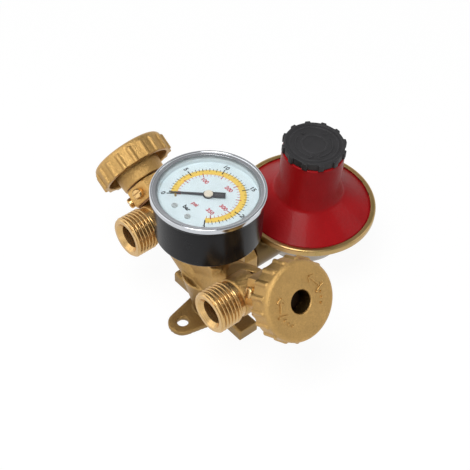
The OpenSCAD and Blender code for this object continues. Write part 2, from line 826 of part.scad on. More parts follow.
module gauge_bezel() {
    outer_round = 1.2;
    lip_round = 0.6;
    foot_bevel_r = 0.4;
    color(steel) gauge_frame() rotate_extrude() polygon(concat(
        [[bezel_in_r, gauge_h - bezel_h], [bezel_r - foot_bevel_r, gauge_h - bezel_h]],
        arc([bezel_r - outer_round, gauge_h - outer_round], outer_round, 0, 90),
        arc([bezel_lip_r + lip_round, gauge_h - lip_round], lip_round, 90, 180),
        [[bezel_lip_r, lens_top], [bezel_in_r, lens_top]]
    ));
}

module gauge_lens() {
    color([0.8, 0.9, 0.95, 0.4]) gauge_frame() rod(case_r - fit, lens_low, lens_top);
}

module lens_gasket() {
    inward = 1.2;
    color(rubber) gauge_frame() ring(case_r - case_wall - inward, case_r - fit, case_top, lens_low);
}

module spacer_ring() {
    color(steel) gauge_frame() ring(dial_r - spacer_w, dial_r, dial_top, case_top);
}

module dial_plate() {
    arbor_room = 1;
    screw_room = 0.2;
    color("white") gauge_frame() difference() {
        rod(dial_r, dial_low, dial_top);
        rod(arbor_r + arbor_room, dial_low - cut, dial_top + cut);
        dial_screw_places() rod(dial_screw_r + screw_room, dial_low - cut, dial_top + cut);
        rotate([0, 0, stop_at]) translate([stop_r, 0, 0])
            rod(stop_pin_r + fit, dial_low - cut, dial_top + cut);
    }
}

module dial_screws() {
    head_r = 1.4;
    head_h = 0.7;
    color(machined) gauge_frame() dial_screw_places() {
        rod(dial_screw_r, dial_low - dial_screw_l, dial_top);
        rod(head_r, dial_top, dial_top + head_h);
    }
}

module stop_pin() {
    over = 0.2;
    color(machined) gauge_frame() rotate([0, 0, stop_at]) translate([stop_r, 0, 0])
        rod(stop_pin_r, dial_low, pointer_low + pointer_t + over);
}

module pointer() {
    tail_half = 1.6;
    stop_half = 0.42;
    tip_half = 0.15;
    eye = 0.5;
    color(black) gauge_frame() rotate([0, 0, dial_zero]) translate([0, 0, pointer_low])
        linear_extrude(pointer_t) difference() {
            union() {
                polygon([
                    [0, -pointer_half], [stop_r, -stop_half], [pointer_l, -tip_half],
                    [pointer_l, tip_half], [stop_r, stop_half], [0, pointer_half]
                ]);
                translate([-pointer_tail, -tail_half]) square([pointer_tail, 2 * tail_half]);
                circle(boss_d / 2 + eye);
            }
            circle(boss_d / 2 + fit);
        }
}

module pointer_boss() {
    color(machined) gauge_frame() difference() {
        rod(boss_d / 2, pointer_boss_low, pointer_boss_low + pointer_boss_h);
        rod(arbor_r + fit, pointer_boss_low - cut, arbor_top + fit);
    }
}

module pinion() {
    over = 0.4;
    color(machined) gauge_frame() {
        rod(arbor_r, frame_low + bearing_gap, arbor_top);
        translate([0, 0, sector_low - over]) linear_extrude(gear_t + 2 * over)
            polygon(teeth(pinion_z, 0, pinion_z - 1));
    }
}

module sector_gear() {
    // The first and last tooth keep the sector in mesh over its whole sweep
    first = -11;
    last = 1;
    rim_t = 1.6;
    rim_in = sector_z * tooth_m / 2 - tooth_root * tooth_m - rim_t;
    hub_r = 1.7;
    tail_half = 0.9;
    pin_over = 0.2;
    low = (first - 0.2) * 360 / sector_z;
    high = (last + 1.2) * 360 / sector_z;
    spoke = 9;
    color(machined) gauge_frame() translate([-gear_distance, 0, 0]) {
        translate([0, 0, sector_low]) linear_extrude(gear_t) difference() {
            union() {
                rotate(180 / sector_z) polygon(concat([[0, 0]], teeth(sector_z, first, last)));
                circle(hub_r);
                translate([-tail_l, -tail_half]) square([tail_l, 2 * tail_half]);
                translate([-tail_l, 0]) circle(tail_half);
            }
            polygon(concat(
                arc([0, 0], rim_in, low + spoke / 2, high - spoke / 2),
                arc([0, 0], hub_r + rim_t, high - 2 * spoke, low + 2 * spoke)
            ));
        }
        rod(arbor_r, frame_low + bearing_gap, frame_top + plate_t - bearing_gap);
        translate([-tail_l, 0, 0]) rod(tail_pin_r, sector_low + gear_t, link_low + link_t + pin_over);
    }
}

module movement_frame() {
    edge = 0.4;
    corner = pillar_r + edge;
    reach = abs(rear_pillar.x) + corner;
    reach_y = rear_pillar.y + corner;
    color(machined) gauge_frame() {
        for (z = [frame_low, frame_top]) translate([0, 0, z]) linear_extrude(plate_t) difference() {
            polygon(bevelled(-reach, -reach_y, front_pillar.x + corner, reach_y, corner));
            circle(arbor_r + run);
            translate([-gear_distance, 0]) circle(arbor_r + run);
        }
        for (p = pillars) translate([p.x, p.y, 0]) rod(pillar_r, frame_low, frame_top + plate_t);
    }
}

module hairspring() {
    turns = 4;
    steps = 18;
    strip = 0.18;
    gap = 0.1;
    inner = arbor_r + gap;
    outer = norm(front_pillar) - pillar_r - gap - strip;
    ends_at = atan2(front_pillar.y, front_pillar.x);
    n = turns * steps;
    function spiral(i, out) =
        let (r = inner + (outer - inner) * i / n + out, a = ends_at + 360 * (i - n) / steps)
        r * [cos(a), sin(a)];
    color(machined) gauge_frame() translate([0, 0, hair_low]) linear_extrude(hair_h) polygon(concat(
        [for (i = [0 : n]) spiral(i, 0)],
        [for (i = [n : -1 : 0]) spiral(i, strip)]
    ));
}

module tube_section(w, h) {
    square([w, h - w], center = true);
    for (s = [-1, 1]) translate([0, s * (h - w) / 2]) circle(d = w, $fn = 32);
}

module bourdon_tube() {
    wall = 0.3;
    root_half = asin((tube_arm_w / 2 + run) / tube_r);
    pin_over = 0.2;
    color(machined) gauge_frame() {
        rotate([0, 0, tube_tip]) rotate_extrude(angle = tube_root - root_half - tube_tip)
            translate([tube_r, tube_mid]) difference() {
                tube_section(tube_w, tube_h);
                tube_section(tube_w - 2 * wall, tube_h - 2 * wall);
            }
        rotate([0, 0, tube_tip]) {
            translate([tube_r - tube_w / 2, -tube_cap_l, tube_mid - tube_h / 2])
                cube([tube_w, tube_cap_l, link_low - link_gap - tube_mid + tube_h / 2]);
            translate([tube_r, -tube_cap_l / 2, 0])
                rod(tail_pin_r, tube_mid, link_low + link_t + pin_over);
        }
    }
}

module bourdon_link() {
    eye_r = 1;
    bar_half = 0.5;
    along = [sin(tube_tip), -cos(tube_tip)];
    tip = tube_r * [cos(tube_tip), sin(tube_tip)] + tube_cap_l / 2 * along;
    tail = [tail_x, 0];
    span = norm(tip - tail);
    turn = atan2(tip.y - tail.y, tip.x - tail.x);
    color(steel) gauge_frame() translate([tail.x, tail.y, link_low]) rotate([0, 0, turn])
        linear_extrude(link_t) difference() {
            union() {
                translate([0, -bar_half]) square([span, 2 * bar_half]);
                circle(eye_r);
                translate([span, 0]) circle(eye_r);
            }
            circle(tail_pin_r + run);
            translate([span, 0]) circle(tail_pin_r + run);
        }
}

// Regulator
module link_nipple() {
    color(machined) translate([0, 0, passage_z]) difference() {
        rod_y(link_r, -outlet_end - link_washer_t - link_l, link_l - outlet_end);
        rod_y(link_bore_r, -outlet_end - link_washer_t - link_l - cut, link_l - outlet_end + cut);
    }
}

module link_washer() {
    color("peru") translate([0, 0, passage_z]) rotate([90, 0, 0])
        ring(link_r + fit, outlet_h - washer_inset, -outlet_end - link_washer_t, -outlet_end);
}

module pivot_frame() {
    translate([0, -pivot_y, pivot_z]) rotate([0, 90, 0]) children();
}

module regulator_body() {
    edge = 1;
    shoulder_r = clamp_r - 3.5;
    shoulder_h = 3;
    nozzle_floor = 1;
    outlet_step = 1.5;
    color(chromate) regulator_frame() difference() {
        union() {
            rotate_extrude() polygon(concat(
                [[0, -bowl_low], [bowl_foot_r, -bowl_low], [shoulder_r, rim_low - shoulder_h]],
                arc([rim_r - edge, rim_low + edge], edge, -90, 0, 4),
                arc([rim_r - edge, rim_top - edge], edge, 0, 90, 4),
                [
                    [rim_lip_d / 2, rim_top], [rim_lip_d / 2, flange_top], [clamp_r, flange_top],
                    [clamp_r, diaphragm_low], [cavity_r, diaphragm_low], [cavity_foot_r, bowl_floor],
                    [0, bowl_floor]
                ]
            ));
            difference() {
                rod_y(neck_r, -outlet_l, neck_end);
                rotate_extrude() polygon([
                    [0, bowl_floor], [cavity_foot_r, bowl_floor], [cavity_r, diaphragm_low],
                    [clamp_r, diaphragm_low], [clamp_r, rim_top], [0, rim_top]
                ]);
            }
            rod_y(nozzle_boss_r, nozzle_face, nozzle_root + nozzle_floor);
            for (s = [-1, 1])
                translate([s * (ear_in + ear_out) / 2, -pivot_y, (bowl_floor + pivot_z + ear_over) / 2])
                    cube([ear_t, ear_w, pivot_z + ear_over - bowl_floor], center = true);
        }
        rod_y(nozzle_d / 2 + fit, nozzle_face - cut, nozzle_root);
        rod_y(link_bore_r, nozzle_face, neck_end);
        rod_y(link_r + fit, neck_end - link_l - thread_relief, neck_end + cut);
        rod_y(outlet_d / 2, -outlet_l - cut, -outlet_l + outlet_hole_l);
        rod_y(outlet_d / 2 - outlet_step, -outlet_l, -cavity_foot_r);
        pivot_frame() rod(lever_pin_r + fit, -ear_out - cut, ear_out + cut);
    }
}

module regulator_bonnet() {
    collar_r = collar_d / 2;
    tower_r = tower_d / 2;
    bore_r = tower_bore_d / 2;
    lip_gap = 0.1;
    red_r = rim_lip_d / 2 - lip_gap;
    fillet = collar_r - tower_r;
    edge = 0.6;
    color("firebrick") regulator_frame() rotate_extrude() polygon(concat(
        [[clamp_r - fit, flange_low], [clamp_r - fit, flange_top]],
        [[red_r, flange_top], [red_r - edge, flange_top + edge]],
        arc([collar_r, collar_z + fillet], fillet, 240, 180, 4),
        [[tower_r, tower_top - edge], [tower_r - edge, tower_top], [bore_r, tower_top]],
        [[bore_r, collar_z - cone_wall], [cavity_r, flange_low]]
    ));
}

module adjusting_cap() {
    cap_r = cap_d / 2;
    rib_at = cap_r + cap_rib_rise - cap_rib_r;
    edge = 0.6;
    rim_t = 1.6;
    rim_in = cap_r - rim_t;
    dish = 0.5;
    plug_wall = 2.2;
    plug_floor = 2;
    hole_r = 3;
    color(black) regulator_frame() difference() {
        union() {
            rotate_extrude() polygon([
                [0, plug_low], [plug_r, plug_low], [plug_r, cap_low], [cap_r, cap_low],
                [cap_r, cap_top - edge], [cap_r - edge, cap_top], [rim_in, cap_top],
                [rim_in - dish, cap_top - dish], [0, cap_top - dish]
            ]);
            for (i = [0 : cap_ribs - 1]) rotate([0, 0, 360 * i / cap_ribs]) translate([rib_at, 0, 0])
                rod(cap_rib_r, cap_low, cap_top - dish / 2);
        }
        rod(plug_r - plug_wall, plug_low + plug_floor, cap_low);
        rod(hole_r, plug_low - cut, plug_low + plug_floor + cut);
    }
}

module spring_plate() {
    edge_gap = 0.6;
    pilot_h = 1.5;
    color(steel) regulator_frame() {
        rod(tower_bore_d / 2 - edge_gap, spring_top, spring_plate_top);
        rod(spring_pilot_r, spring_top - pilot_h, spring_top);
    }
}

module adjusting_spring() {
    per_turn = 14;
    sides = 6;
    rings = spring_turns * per_turn + 1;
    low = plate_top + spring_wire / 2 + run;
    high = spring_top - spring_wire / 2 - run;
    points = [for (i = [0 : rings - 1])
        let (z = low + (high - low) * i / (rings - 1))
        each helix_ring(spring_r, z, 360 * i / per_turn, spring_wire, sides)];
    color(steel) regulator_frame() polyhedron(points, tube_faces(rings, sides));
}

module diaphragm() {
    steps = 8;
    edge_gap = 1.5;
    fold_in = stack_plate_r + 2;
    fold_out = cavity_r - edge_gap;
    dip = 2.2;
    low = diaphragm_low;
    hole_r = stack_stem_r + run;
    function sag(i) = -dip * (1 - cos(360 * i / steps)) / 2;
    function line(z) = [for (i = [0 : steps]) [fold_in + (fold_out - fold_in) * i / steps, z + sag(i)]];
    color(rubber) regulator_frame() rotate_extrude() polygon(concat(
        [[hole_r, low]], line(low), [[clamp_r - fit, low], [clamp_r - fit, flange_low]],
        [for (i = [steps : -1 : 0]) line(flange_low)[i]], [[hole_r, flange_low]]
    ));
}

module diaphragm_plate() {
    lip_t = 0.8;
    lip_h = 1;
    color(steel) regulator_frame() difference() {
        union() {
            rod(stack_plate_r, plate_low, plate_top);
            ring(stack_plate_r - lip_t, stack_plate_r, plate_low, plate_top + lip_h);
            rod(spring_pilot_r, plate_low, stem_boss_top);
        }
        rod(stack_stem_r + fit, plate_low - cut, stem_boss_top + cut);
    }
}

module diaphragm_stem() {
    rivet_over = 1.2;
    rivet_h = 0.9;
    flange_r = 7;
    flange_t = 1.1;
    fork = [6.4, 5.2];
    fork_foot = 1.3;
    fork_head = 5;
    slot_side = 0.2;
    slot_back = 1.8;
    ball_z = pivot_z - diaphragm_travel / 2;
    foot_z = ball_z - long_ball_r - fork_foot;
    head_z = ball_z + fork_head;
    slot = [2 * (lever_half + slot_side), fork.y / 2 + slot_back + cut, 2 * (long_ball_r + slot_room)];
    color(machined) regulator_frame() difference() {
        union() {
            rod(stack_stem_r, head_z, stem_boss_top);
            rod(stack_stem_r + rivet_over, stem_boss_top, stem_boss_top + rivet_h);
            rod(flange_r, diaphragm_low - flange_t, diaphragm_low);
            translate([0, 0, (foot_z + head_z) / 2]) cube([fork.x, fork.y, head_z - foot_z], center = true);
        }
        translate([0, slot_back - slot.y / 2, ball_z]) cube(slot, center = true);
    }
}

module lever() {
    short_half = 0.5;
    long_half = 0.6;
    hub_r = 1.7;
    color(steel) regulator_frame() translate([-lever_half, -pivot_y, pivot_z]) rotate([90, 0, 90]) {
        linear_extrude(2 * lever_half) difference() {
            union() {
                circle(hub_r);
                translate([-short_half, 0]) square([2 * short_half, lever_up]);
                translate([0, lever_up]) circle(short_ball_r);
                rotate(-lever_rest) {
                    translate([0, -long_half]) square([lever_l, 2 * long_half]);
                    translate([lever_l, 0]) circle(long_ball_r);
                }
            }
            circle(lever_pin_r + run);
        }
    }
}

module lever_pin() {
    color(steel) regulator_frame() pivot_frame() rod(lever_pin_r, -ear_out, ear_out);
}

module valve_slider() {
    slot_half = short_ball_r + slot_room;
    slot_top = short_ball_r + 2 * slot_room;
    color(machined) regulator_frame() difference() {
        rod_y(slider_d / 2, slider_high, slider_low);
        rod_y(slider_d / 2 - slider_lip + fit, slider_low - slider_recess, slider_low + cut);
        translate([0, -pivot_y, (slot_top - slider_d) / 2])
            cube([slider_d + 2 * cut, 2 * slot_half, slot_top + slider_d], center = true);
    }
}

module slider_pad() {
    color(rubber) regulator_frame()
        rod_y(slider_d / 2 - slider_lip, slider_low - slider_recess, slider_pad_low);
}

module orifice_nozzle() {
    orifice_r = 0.9;
    lip_w = 0.7;
    groove_w = 0.4;
    groove_l = 1.2;
    vent_r = 0.8;
    flange_t = 1;
    edge = 0.6;
    thread_r = nozzle_d / 2;
    flange_r = nozzle_boss_r - edge;
    inside_r = slider_d / 2 + run;
    groove_end = nozzle_seat + groove_l;
    thread_end = nozzle_root - thread_relief;
    color(machined) regulator_frame() difference() {
        rotate([90, 0, 0]) rotate_extrude() polygon([
            [orifice_r, nozzle_seat], [orifice_r + lip_w, nozzle_seat], [inside_r - groove_w, groove_end],
            [inside_r, groove_end], [inside_r, sleeve_end], [sleeve_r, sleeve_end],
            [sleeve_r, nozzle_face - flange_t], [flange_r, nozzle_face - flange_t], [flange_r, nozzle_face],
            [thread_r, nozzle_face], [thread_r, thread_end], [orifice_r, thread_end]
        ]);
        translate([0, -nozzle_seat, 0]) rotate([0, 90, 0]) rod(vent_r, -sleeve_r - cut, sleeve_r + cut);
    }
}

manifold_body();
inlet_nipple(LEFT);  // left_inlet_nipple
inlet_nipple(RIGHT);  // right_inlet_nipple
bonnet(LEFT);  // left_bonnet
bonnet(RIGHT);  // right_bonnet
bonnet_washer(LEFT);  // left_bonnet_washer
bonnet_washer(RIGHT);  // right_bonnet_washer
lock_screws(LEFT);  // left_lock_screws
lock_screws(RIGHT);  // right_lock_screws
stem(LEFT);  // left_stem
stem(RIGHT);  // right_stem
stem_seal(LEFT);  // left_stem_seal
stem_seal(RIGHT);  // right_stem_seal
pad_holder(LEFT);  // left_pad_holder
pad_holder(RIGHT);  // right_pad_holder
seat_pad(LEFT);  // left_seat_pad
seat_pad(RIGHT);  // right_seat_pad
handwheel(LEFT);  // left_handwheel
handwheel(RIGHT);  // right_handwheel
wheel_nut(LEFT);  // left_wheel_nut
wheel_nut(RIGHT);  // right_wheel_nut
gauge_socket();
gauge_washer();
gauge_case();
gauge_bezel();
gauge_lens();
lens_gasket();
spacer_ring();
dial_plate();
dial_screws();
stop_pin();
pointer();
pointer_boss();
pinion();
sector_gear();
movement_frame();
hairspring();
bourdon_tube();
bourdon_link();
link_nipple();
link_washer();
regulator_body();
regulator_bonnet();
adjusting_cap();
spring_plate();
adjusting_spring();
diaphragm();
diaphragm_plate();
diaphragm_stem();
lever();
lever_pin();
valve_slider();
slider_pad();
orifice_nozzle();
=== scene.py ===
"""Looks of a wall manifold for two gas cylinders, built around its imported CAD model.

Places are in metres in the CAD frame: z = 0 is the wall face, the gauge's axis is x = y = 0 and the
inlets point along -Y. Outlines, marks and print are in millimetres.
"""

import json
from functools import cache
from math import cos, pi, radians, sin, tan

import bmesh
import bpy
import numpy as np
from mathutils import Matrix, Vector


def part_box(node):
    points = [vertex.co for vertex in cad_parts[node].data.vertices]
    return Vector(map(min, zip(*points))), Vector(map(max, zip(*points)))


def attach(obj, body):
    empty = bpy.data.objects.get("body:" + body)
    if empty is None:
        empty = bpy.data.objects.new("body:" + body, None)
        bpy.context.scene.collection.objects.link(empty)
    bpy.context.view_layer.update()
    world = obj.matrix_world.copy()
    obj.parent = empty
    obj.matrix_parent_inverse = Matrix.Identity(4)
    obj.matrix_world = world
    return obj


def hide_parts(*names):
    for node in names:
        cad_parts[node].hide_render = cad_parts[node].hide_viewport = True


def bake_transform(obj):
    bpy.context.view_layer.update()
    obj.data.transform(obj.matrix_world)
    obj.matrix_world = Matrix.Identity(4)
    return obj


bl_info = {
    "name": "Gas wall manifold",
    "version": (1, 0, 0),
    "blender": (4, 5, 0),
    "location": "3D View > Sidebar > Manifold",
    "description": "Builds the finished surfaces of a gas wall manifold around its CAD frame",
    "category": "Object",
}

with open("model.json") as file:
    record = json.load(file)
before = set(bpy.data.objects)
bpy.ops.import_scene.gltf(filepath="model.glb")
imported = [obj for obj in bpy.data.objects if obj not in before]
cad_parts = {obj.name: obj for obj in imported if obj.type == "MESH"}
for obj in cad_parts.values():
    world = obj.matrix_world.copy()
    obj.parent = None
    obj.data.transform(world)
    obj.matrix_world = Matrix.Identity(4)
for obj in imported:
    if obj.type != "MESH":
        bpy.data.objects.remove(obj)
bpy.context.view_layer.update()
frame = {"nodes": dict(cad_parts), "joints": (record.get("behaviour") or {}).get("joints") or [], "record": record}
NODES = frame["nodes"]
JOINTS = {j["name"]: j for j in frame["joints"]}
BODY_OF = {n: b for b, group in frame["record"]["behaviour"]["bodies"].items() for n in group}
MM = 0.001
SIDES = ("left", "right")


# Places taken from the CAD frame

def placed(origin, axis, along=(0, 1, 0)):
    """A matrix whose Z is the axis and whose Y is as near as can be to the direction along."""
    z = Vector(axis).normalized()
    x = Vector(along).cross(z).normalized()
    return Matrix.Translation(origin) @ Matrix((x, z.cross(x), z)).transposed().to_4x4()


def joint_place(name):
    return placed(JOINTS[name]["pos_m"], JOINTS[name]["axis"])


GAUGE_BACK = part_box("gauge_case")[0].z
DIAL_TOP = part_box("dial_plate")[1].z
# The regulator's own heights count from the level of the passage that leads to it
PASSAGE_LEVEL = 25 * MM
REGULATOR = placed((0, JOINTS["cap_turn"]["pos_m"][1], PASSAGE_LEVEL), JOINTS["cap_turn"]["axis"])


# Settings that a user would change

def length(name, description, value):
    return bpy.props.FloatProperty(name=name, description=description, default=value * MM, min=0.0,
                                   precision=5, subtype="DISTANCE", unit="LENGTH")


def colour(name, description, value):
    return bpy.props.FloatVectorProperty(name=name, description=description, default=value, size=3,
                                         min=0.0, max=1.0, subtype="COLOR")


class ManifoldSizes(bpy.types.PropertyGroup):
    """Sizes of the finished details"""
    thread_pitch: length("Thread pitch", "Distance between two crests of the inlet thread", 1.814)
    thread_depth: length("Thread depth", "Depth of the inlet thread", 0.85)
    casting_grain: length("Casting voxel", "Cell of the mesh that rounds the forged body", 0.46)
    bowl_grain: length("Bowl voxel", "Cell of the mesh that rounds the regulator's bowl", 0.5)
    wheel_grain: length("Wheel voxel", "Cell of the mesh that rounds a handwheel", 0.3)
    wheel_ridges: bpy.props.IntProperty(
        name="Wheel ridges", description="Ridges round a handwheel's skirt", default=18, min=6, max=36)
    arrow_rise: length("Arrow rise", "Height of the raised arrows on a handwheel", 0.5)
    cap_ribs: bpy.props.IntProperty(
        name="Cap ribs", description="Ribs round the adjusting cap", default=12, min=6, max=24)
    ink_rise: length("Ink height", "Thickness of the print on the dial", 0.03)
    hex_bevel: length("Hexagon bevel", "Rounding of the edges of hexagons and screws", 0.25)


class ManifoldColours(bpy.types.PropertyGroup):
    """Colours of the finishes"""
    forged: colour("Forged brass", "Matte brass of the body and the wheels", (0.56, 0.345, 0.122))
    machined: colour("Machined brass", "Bright brass of the turned pieces", (0.66, 0.425, 0.175))
    steel: colour("Steel", "Bare steel of plates, levers and springs", (0.46, 0.47, 0.49))
    chrome: colour("Chrome", "Plating of the gauge's bezel", (0.60, 0.62, 0.65))
    black_case: colour("Case black", "Lacquer of the gauge's case", (0.011, 0.011, 0.013))
    dial: colour("Dial", "Ground colour of the dial", (0.64, 0.75, 0.785))
    band: colour("Band", "Coloured band on the dial", (0.80, 0.55, 0.09))
    red: colour("Red enamel", "Paint of the regulator's bonnet", (0.40, 0.008, 0.011))
    chromate: colour("Yellow chromate", "Passivated zinc of the regulator's body", (0.40, 0.255, 0.10))
    cap: colour("Cap plastic", "Moulded plastic of the adjusting cap", (0.031, 0.030, 0.032))


def sizes():
    return bpy.context.scene.manifold_sizes


def colours():
    return bpy.context.scene.manifold_colours


# Node helpers

def feed(source, target):
    """Links a socket to the target, or gives the target a plain value. Colours need no alpha."""
    if isinstance(source, bpy.types.NodeSocket):
        target.id_data.links.new(source, target)
    elif target.type == "RGBA":
        target.default_value = (*source, 1.0)
    else:
        target.default_value = source


def wired(node, inputs):
    """Feeds the inputs of a node with sockets or plain values."""
    for name, source in inputs.items():
        feed(source, node.inputs[name])


def add(tree, kind, inputs=None, **settings):
    """Adds a node with its settings and inputs; returns its outputs."""
    node = tree.nodes.new(kind)
    for name, value in settings.items():
        setattr(node, name, value)
    wired(node, inputs or {})
    return node.outputs


def mix_colour(factor, a, b, blend="MIX"):
    inputs = {0: factor, 6: a, 7: b}
    return add(factor.id_data, "ShaderNodeMix", inputs, data_type="RGBA", blend_type=blend)[2]


def maths(operation, first, *others):
    inputs = dict(enumerate((first, *others)))
    return add(first.id_data, "ShaderNodeMath", inputs, operation=operation)[0]


def toned(tone, mask, share, target):
    """The tone, drawn towards a target colour by a share of the mask."""
    return mix_colour(maths("MULTIPLY", mask, share), tone, target)


def ranged(value, low, high, from_low=0.0, from_high=1.0):
    inputs = {"Value": value, "From Min": from_low, "From Max": from_high, "To Min": low, "To Max": high}
    return add(value.id_data, "ShaderNodeMapRange", inputs)["Result"]


def split(vector):
    """The X, Y and Z sockets of a vector."""
    return add(vector.id_data, "ShaderNodeSeparateXYZ", {0: vector})


def object_place(tree):
    return add(tree, "ShaderNodeTexCoord")["Object"]


def noise(tree, detail, roughness, inputs, dimensions="3D"):
    inputs = {"Detail": detail, "Roughness": roughness, **inputs}
    return add(tree, "ShaderNodeTexNoise", inputs, noise_dimensions=dimensions)["Fac"]


def either(factor, first, second, output):
    """Mixes two shaders, given as the outputs of their nodes, into the output node of their tree."""
    tree = factor.id_data
    mixed = add(tree, "ShaderNodeMixShader", {0: factor, 1: first[0], 2: second[0]})
    feed(mixed[0], tree.nodes[output].inputs["Surface"])


def new_tree(name, kind, inputs, outputs):
    """An empty node group with sockets of the kinds given; returns it, its inputs and its output node."""
    tree = bpy.data.node_groups.new(name, kind + "NodeTree")
    for way, sockets in (("INPUT", inputs), ("OUTPUT", outputs)):
        for label, socket in sockets.items():
            tree.interface.new_socket(label, in_out=way, socket_type="NodeSocket" + socket)
    return tree, add(tree, "NodeGroupInput"), tree.nodes.new("NodeGroupOutput")


@cache
def grain_group():
    """Mottling over the surface: a slow tone from 0 to 1, and a height with a fine grain in it."""
    tree, inside, outside = new_tree("Surface grain", "Shader",
                                     {"Tone Scale": "Float", "Grain Scale": "Float"},
                                     {"Tone": "Float", "Height": "Float"})
    place = object_place(tree)
    slow = noise(tree, 5.0, 0.62, {"Vector": place, "Scale": inside["Tone Scale"]})
    fine = noise(tree, 3.0, 0.7, {"Vector": place, "Scale": inside["Grain Scale"]})
    height = maths("MULTIPLY_ADD", slow, 0.4, fine)
    wired(outside, {"Tone": ranged(slow, 0.0, 1.0, 0.3, 0.7), "Height": height})
    return tree


@cache
def relief_group():
    """Where a surface stands proud or lies in a hollow, from the piece's own relief attribute."""
    tree, _, outside = new_tree("Relief", "Shader", {}, {"Edge": "Float", "Hollow": "Float"})
    relief = add(tree, "ShaderNodeAttribute", attribute_name="relief")["Fac"]
    wired(outside, {"Edge": ranged(relief, 0.0, 1.0, 0.05, 0.6),
                    "Hollow": ranged(relief, 0.0, 1.0, -0.05, -0.6)})
    return tree


@cache
def turning_group():
    """Fine rings left by a lathe round the Z axis of the vector that comes in."""
    tree, inside, outside = new_tree("Turning marks", "Shader", {"Vector": "Vector", "Rings": "Float"},
                                     {"Height": "Float", "Tone": "Float"})
    x, y, along = split(inside["Vector"])
    flat = add(tree, "ShaderNodeCombineXYZ", {"X": x, "Y": y})
    away = add(tree, "ShaderNodeVectorMath", {0: flat[0]}, operation="LENGTH")
    travel = maths("ADD", away["Value"], along)
    rings = noise(tree, 4.0, 0.75, {"W": travel, "Scale": inside["Rings"]}, "1D")
    wired(outside, {"Height": rings, "Tone": ranged(rings, 0.0, 1.0, 0.3, 0.7)})
    return tree


def spaced(inputs):
    """Keyword arguments as the names of sockets."""
    return {name.replace("_", " "): value for name, value in inputs.items()}


def group(tree, maker, **inputs):
    """Places a maker's shader group with its own inputs; returns its outputs."""
    return add(tree, "ShaderNodeGroup", spaced(inputs), node_tree=maker())


def grain_of(tree, tone_scale, grain_scale):
    return group(tree, grain_group, Tone_Scale=tone_scale, Grain_Scale=grain_scale)


def new_finish(name, **inputs):
    """A material with one Principled shader; returns the material, its tree and the shader."""
    material = bpy.data.materials.new(name)
    material.use_nodes = True
    tree = material.node_tree
    shader = tree.nodes["Principled BSDF"]
    wired(shader, spaced(inputs))
    return material, tree, shader


def bumped(shader, height, distance, strength):
    inputs = {"Strength": strength, "Distance": distance, "Height": height}
    bump = add(height.id_data, "ShaderNodeBump", inputs)
    feed(bump["Normal"], shader.inputs["Normal"])


def surface(shader, tone, texture, roughness, bump):
    """Gives a shader its colour, and a texture's Tone as its roughness and Height as its bump.

    The roughness is a range. The bump is a distance in metres and a strength.
    """
    wired(shader, {"Base Color": tone, "Roughness": ranged(texture["Tone"], *roughness)})
    bumped(shader, texture["Height"], *bump)


def mottled(name, scales, dark, light, roughness, bump, painted_relief_light=(), **inputs):
    """A finish that drifts between two colours.

    The relief list gives outputs of the relief group, each with its share and the colour that it draws towards:
    painted shade in hollows and painted highlight on edges.
    """
    material, tree, shader = new_finish(name, **inputs)
    grain = grain_of(tree, *scales)
    tone = mix_colour(grain["Tone"], dark, light)
    for part, share, target in painted_relief_light:
        tone = toned(tone, group(tree, relief_group)[part], share, target)
    surface(shader, tone, grain, roughness, bump)
    return material


def shaded(rgb, factor):
    return tuple(min(1.0, c * factor) for c in rgb)


# Finishes, each made once for each set of arguments

# Forged brass is darkened by painted shade near the wall, down to the level given, and is plain above this height
PAINTED_SHADE_TOP, PAINTED_SHADE_LEVEL = 45 * MM, 0.5


@cache
def forged_brass():
    material, tree, shader = new_finish("Forged brass", Metallic=1.0)
    base = colours().forged
    grain = grain_of(tree, 140.0, 1300.0)
    speck = grain_of(tree, 900.0, 2600.0)
    relief = group(tree, relief_group)
    tone = mix_colour(grain["Tone"], shaded(base, 0.86), shaded(base, 1.12))
    tone = toned(tone, speck["Tone"], 0.45, shaded(base, 0.62))
    # Painted shade in the hollows and a painted highlight on the edges
    tone = toned(tone, relief["Hollow"], 0.75, shaded(base, 0.24))
    tone = toned(tone, relief["Edge"], 0.5, shaded(base, 1.35))
    # Painted shade that grows towards the wall
    low_painted_shade = ranged(split(object_place(tree))["Z"], 1.0, 0.0, 0.0, PAINTED_SHADE_TOP)
    tone = mix_colour(low_painted_shade, tone, (PAINTED_SHADE_LEVEL,) * 3, "MULTIPLY")
    surface(shader, tone, grain, (0.3, 0.46), (0.00045, 0.9))
    return material


@cache
def machined_brass(origin=(0.0, 0.0, 0.0), turn=(0.0, 0.0, 0.0)):
    """Bright brass with lathe marks round the axis at origin, which the turn lays along Z."""
    material, tree, shader = new_finish("Machined brass", Metallic=0.85)
    base = colours().machined
    inputs = {"Vector": object_place(tree), "Location": origin, "Rotation": turn}
    there = add(tree, "ShaderNodeMapping", inputs, vector_type="TEXTURE")
    marks = group(tree, turning_group, Vector=there["Vector"], Rings=5200.0)
    grain = grain_of(tree, 220.0, 2600.0)
    relief = group(tree, relief_group)
    tone = mix_colour(grain["Tone"], shaded(base, 0.88), shaded(base, 1.08))
    # Painted shade in the hollows
    tone = toned(tone, relief["Hollow"], 0.5, shaded(base, 0.25))
    surface(shader, tone, marks, (0.17, 0.3), (0.00006, 0.35))
    return material


@cache
def plain_steel():
    base = colours().steel
    return mottled("Plain steel", (300.0, 3000.0), shaded(base, 0.8), shaded(base, 1.1),
                   roughness=(0.25, 0.42), bump=(0.00005, 0.4), Metallic=1.0)


@cache
def oiled_steel():
    """Near-black steel for what lies deep in the wheels' holes; its darkness is painted shade."""
    return mottled("Dark hole steel", (260.0, 2400.0), (0.016, 0.010, 0.007), (0.035, 0.023, 0.016),
                   roughness=(0.4, 0.58), bump=(0.00006, 0.4), Metallic=1.0)


@cache
def seal_rubber():
    return mottled("Seal rubber", (260.0, 2800.0), (0.016, 0.016, 0.017), (0.034, 0.034, 0.036),
                   roughness=(0.55, 0.75), bump=(0.00006, 0.5), Specular_IOR_Level=0.3)


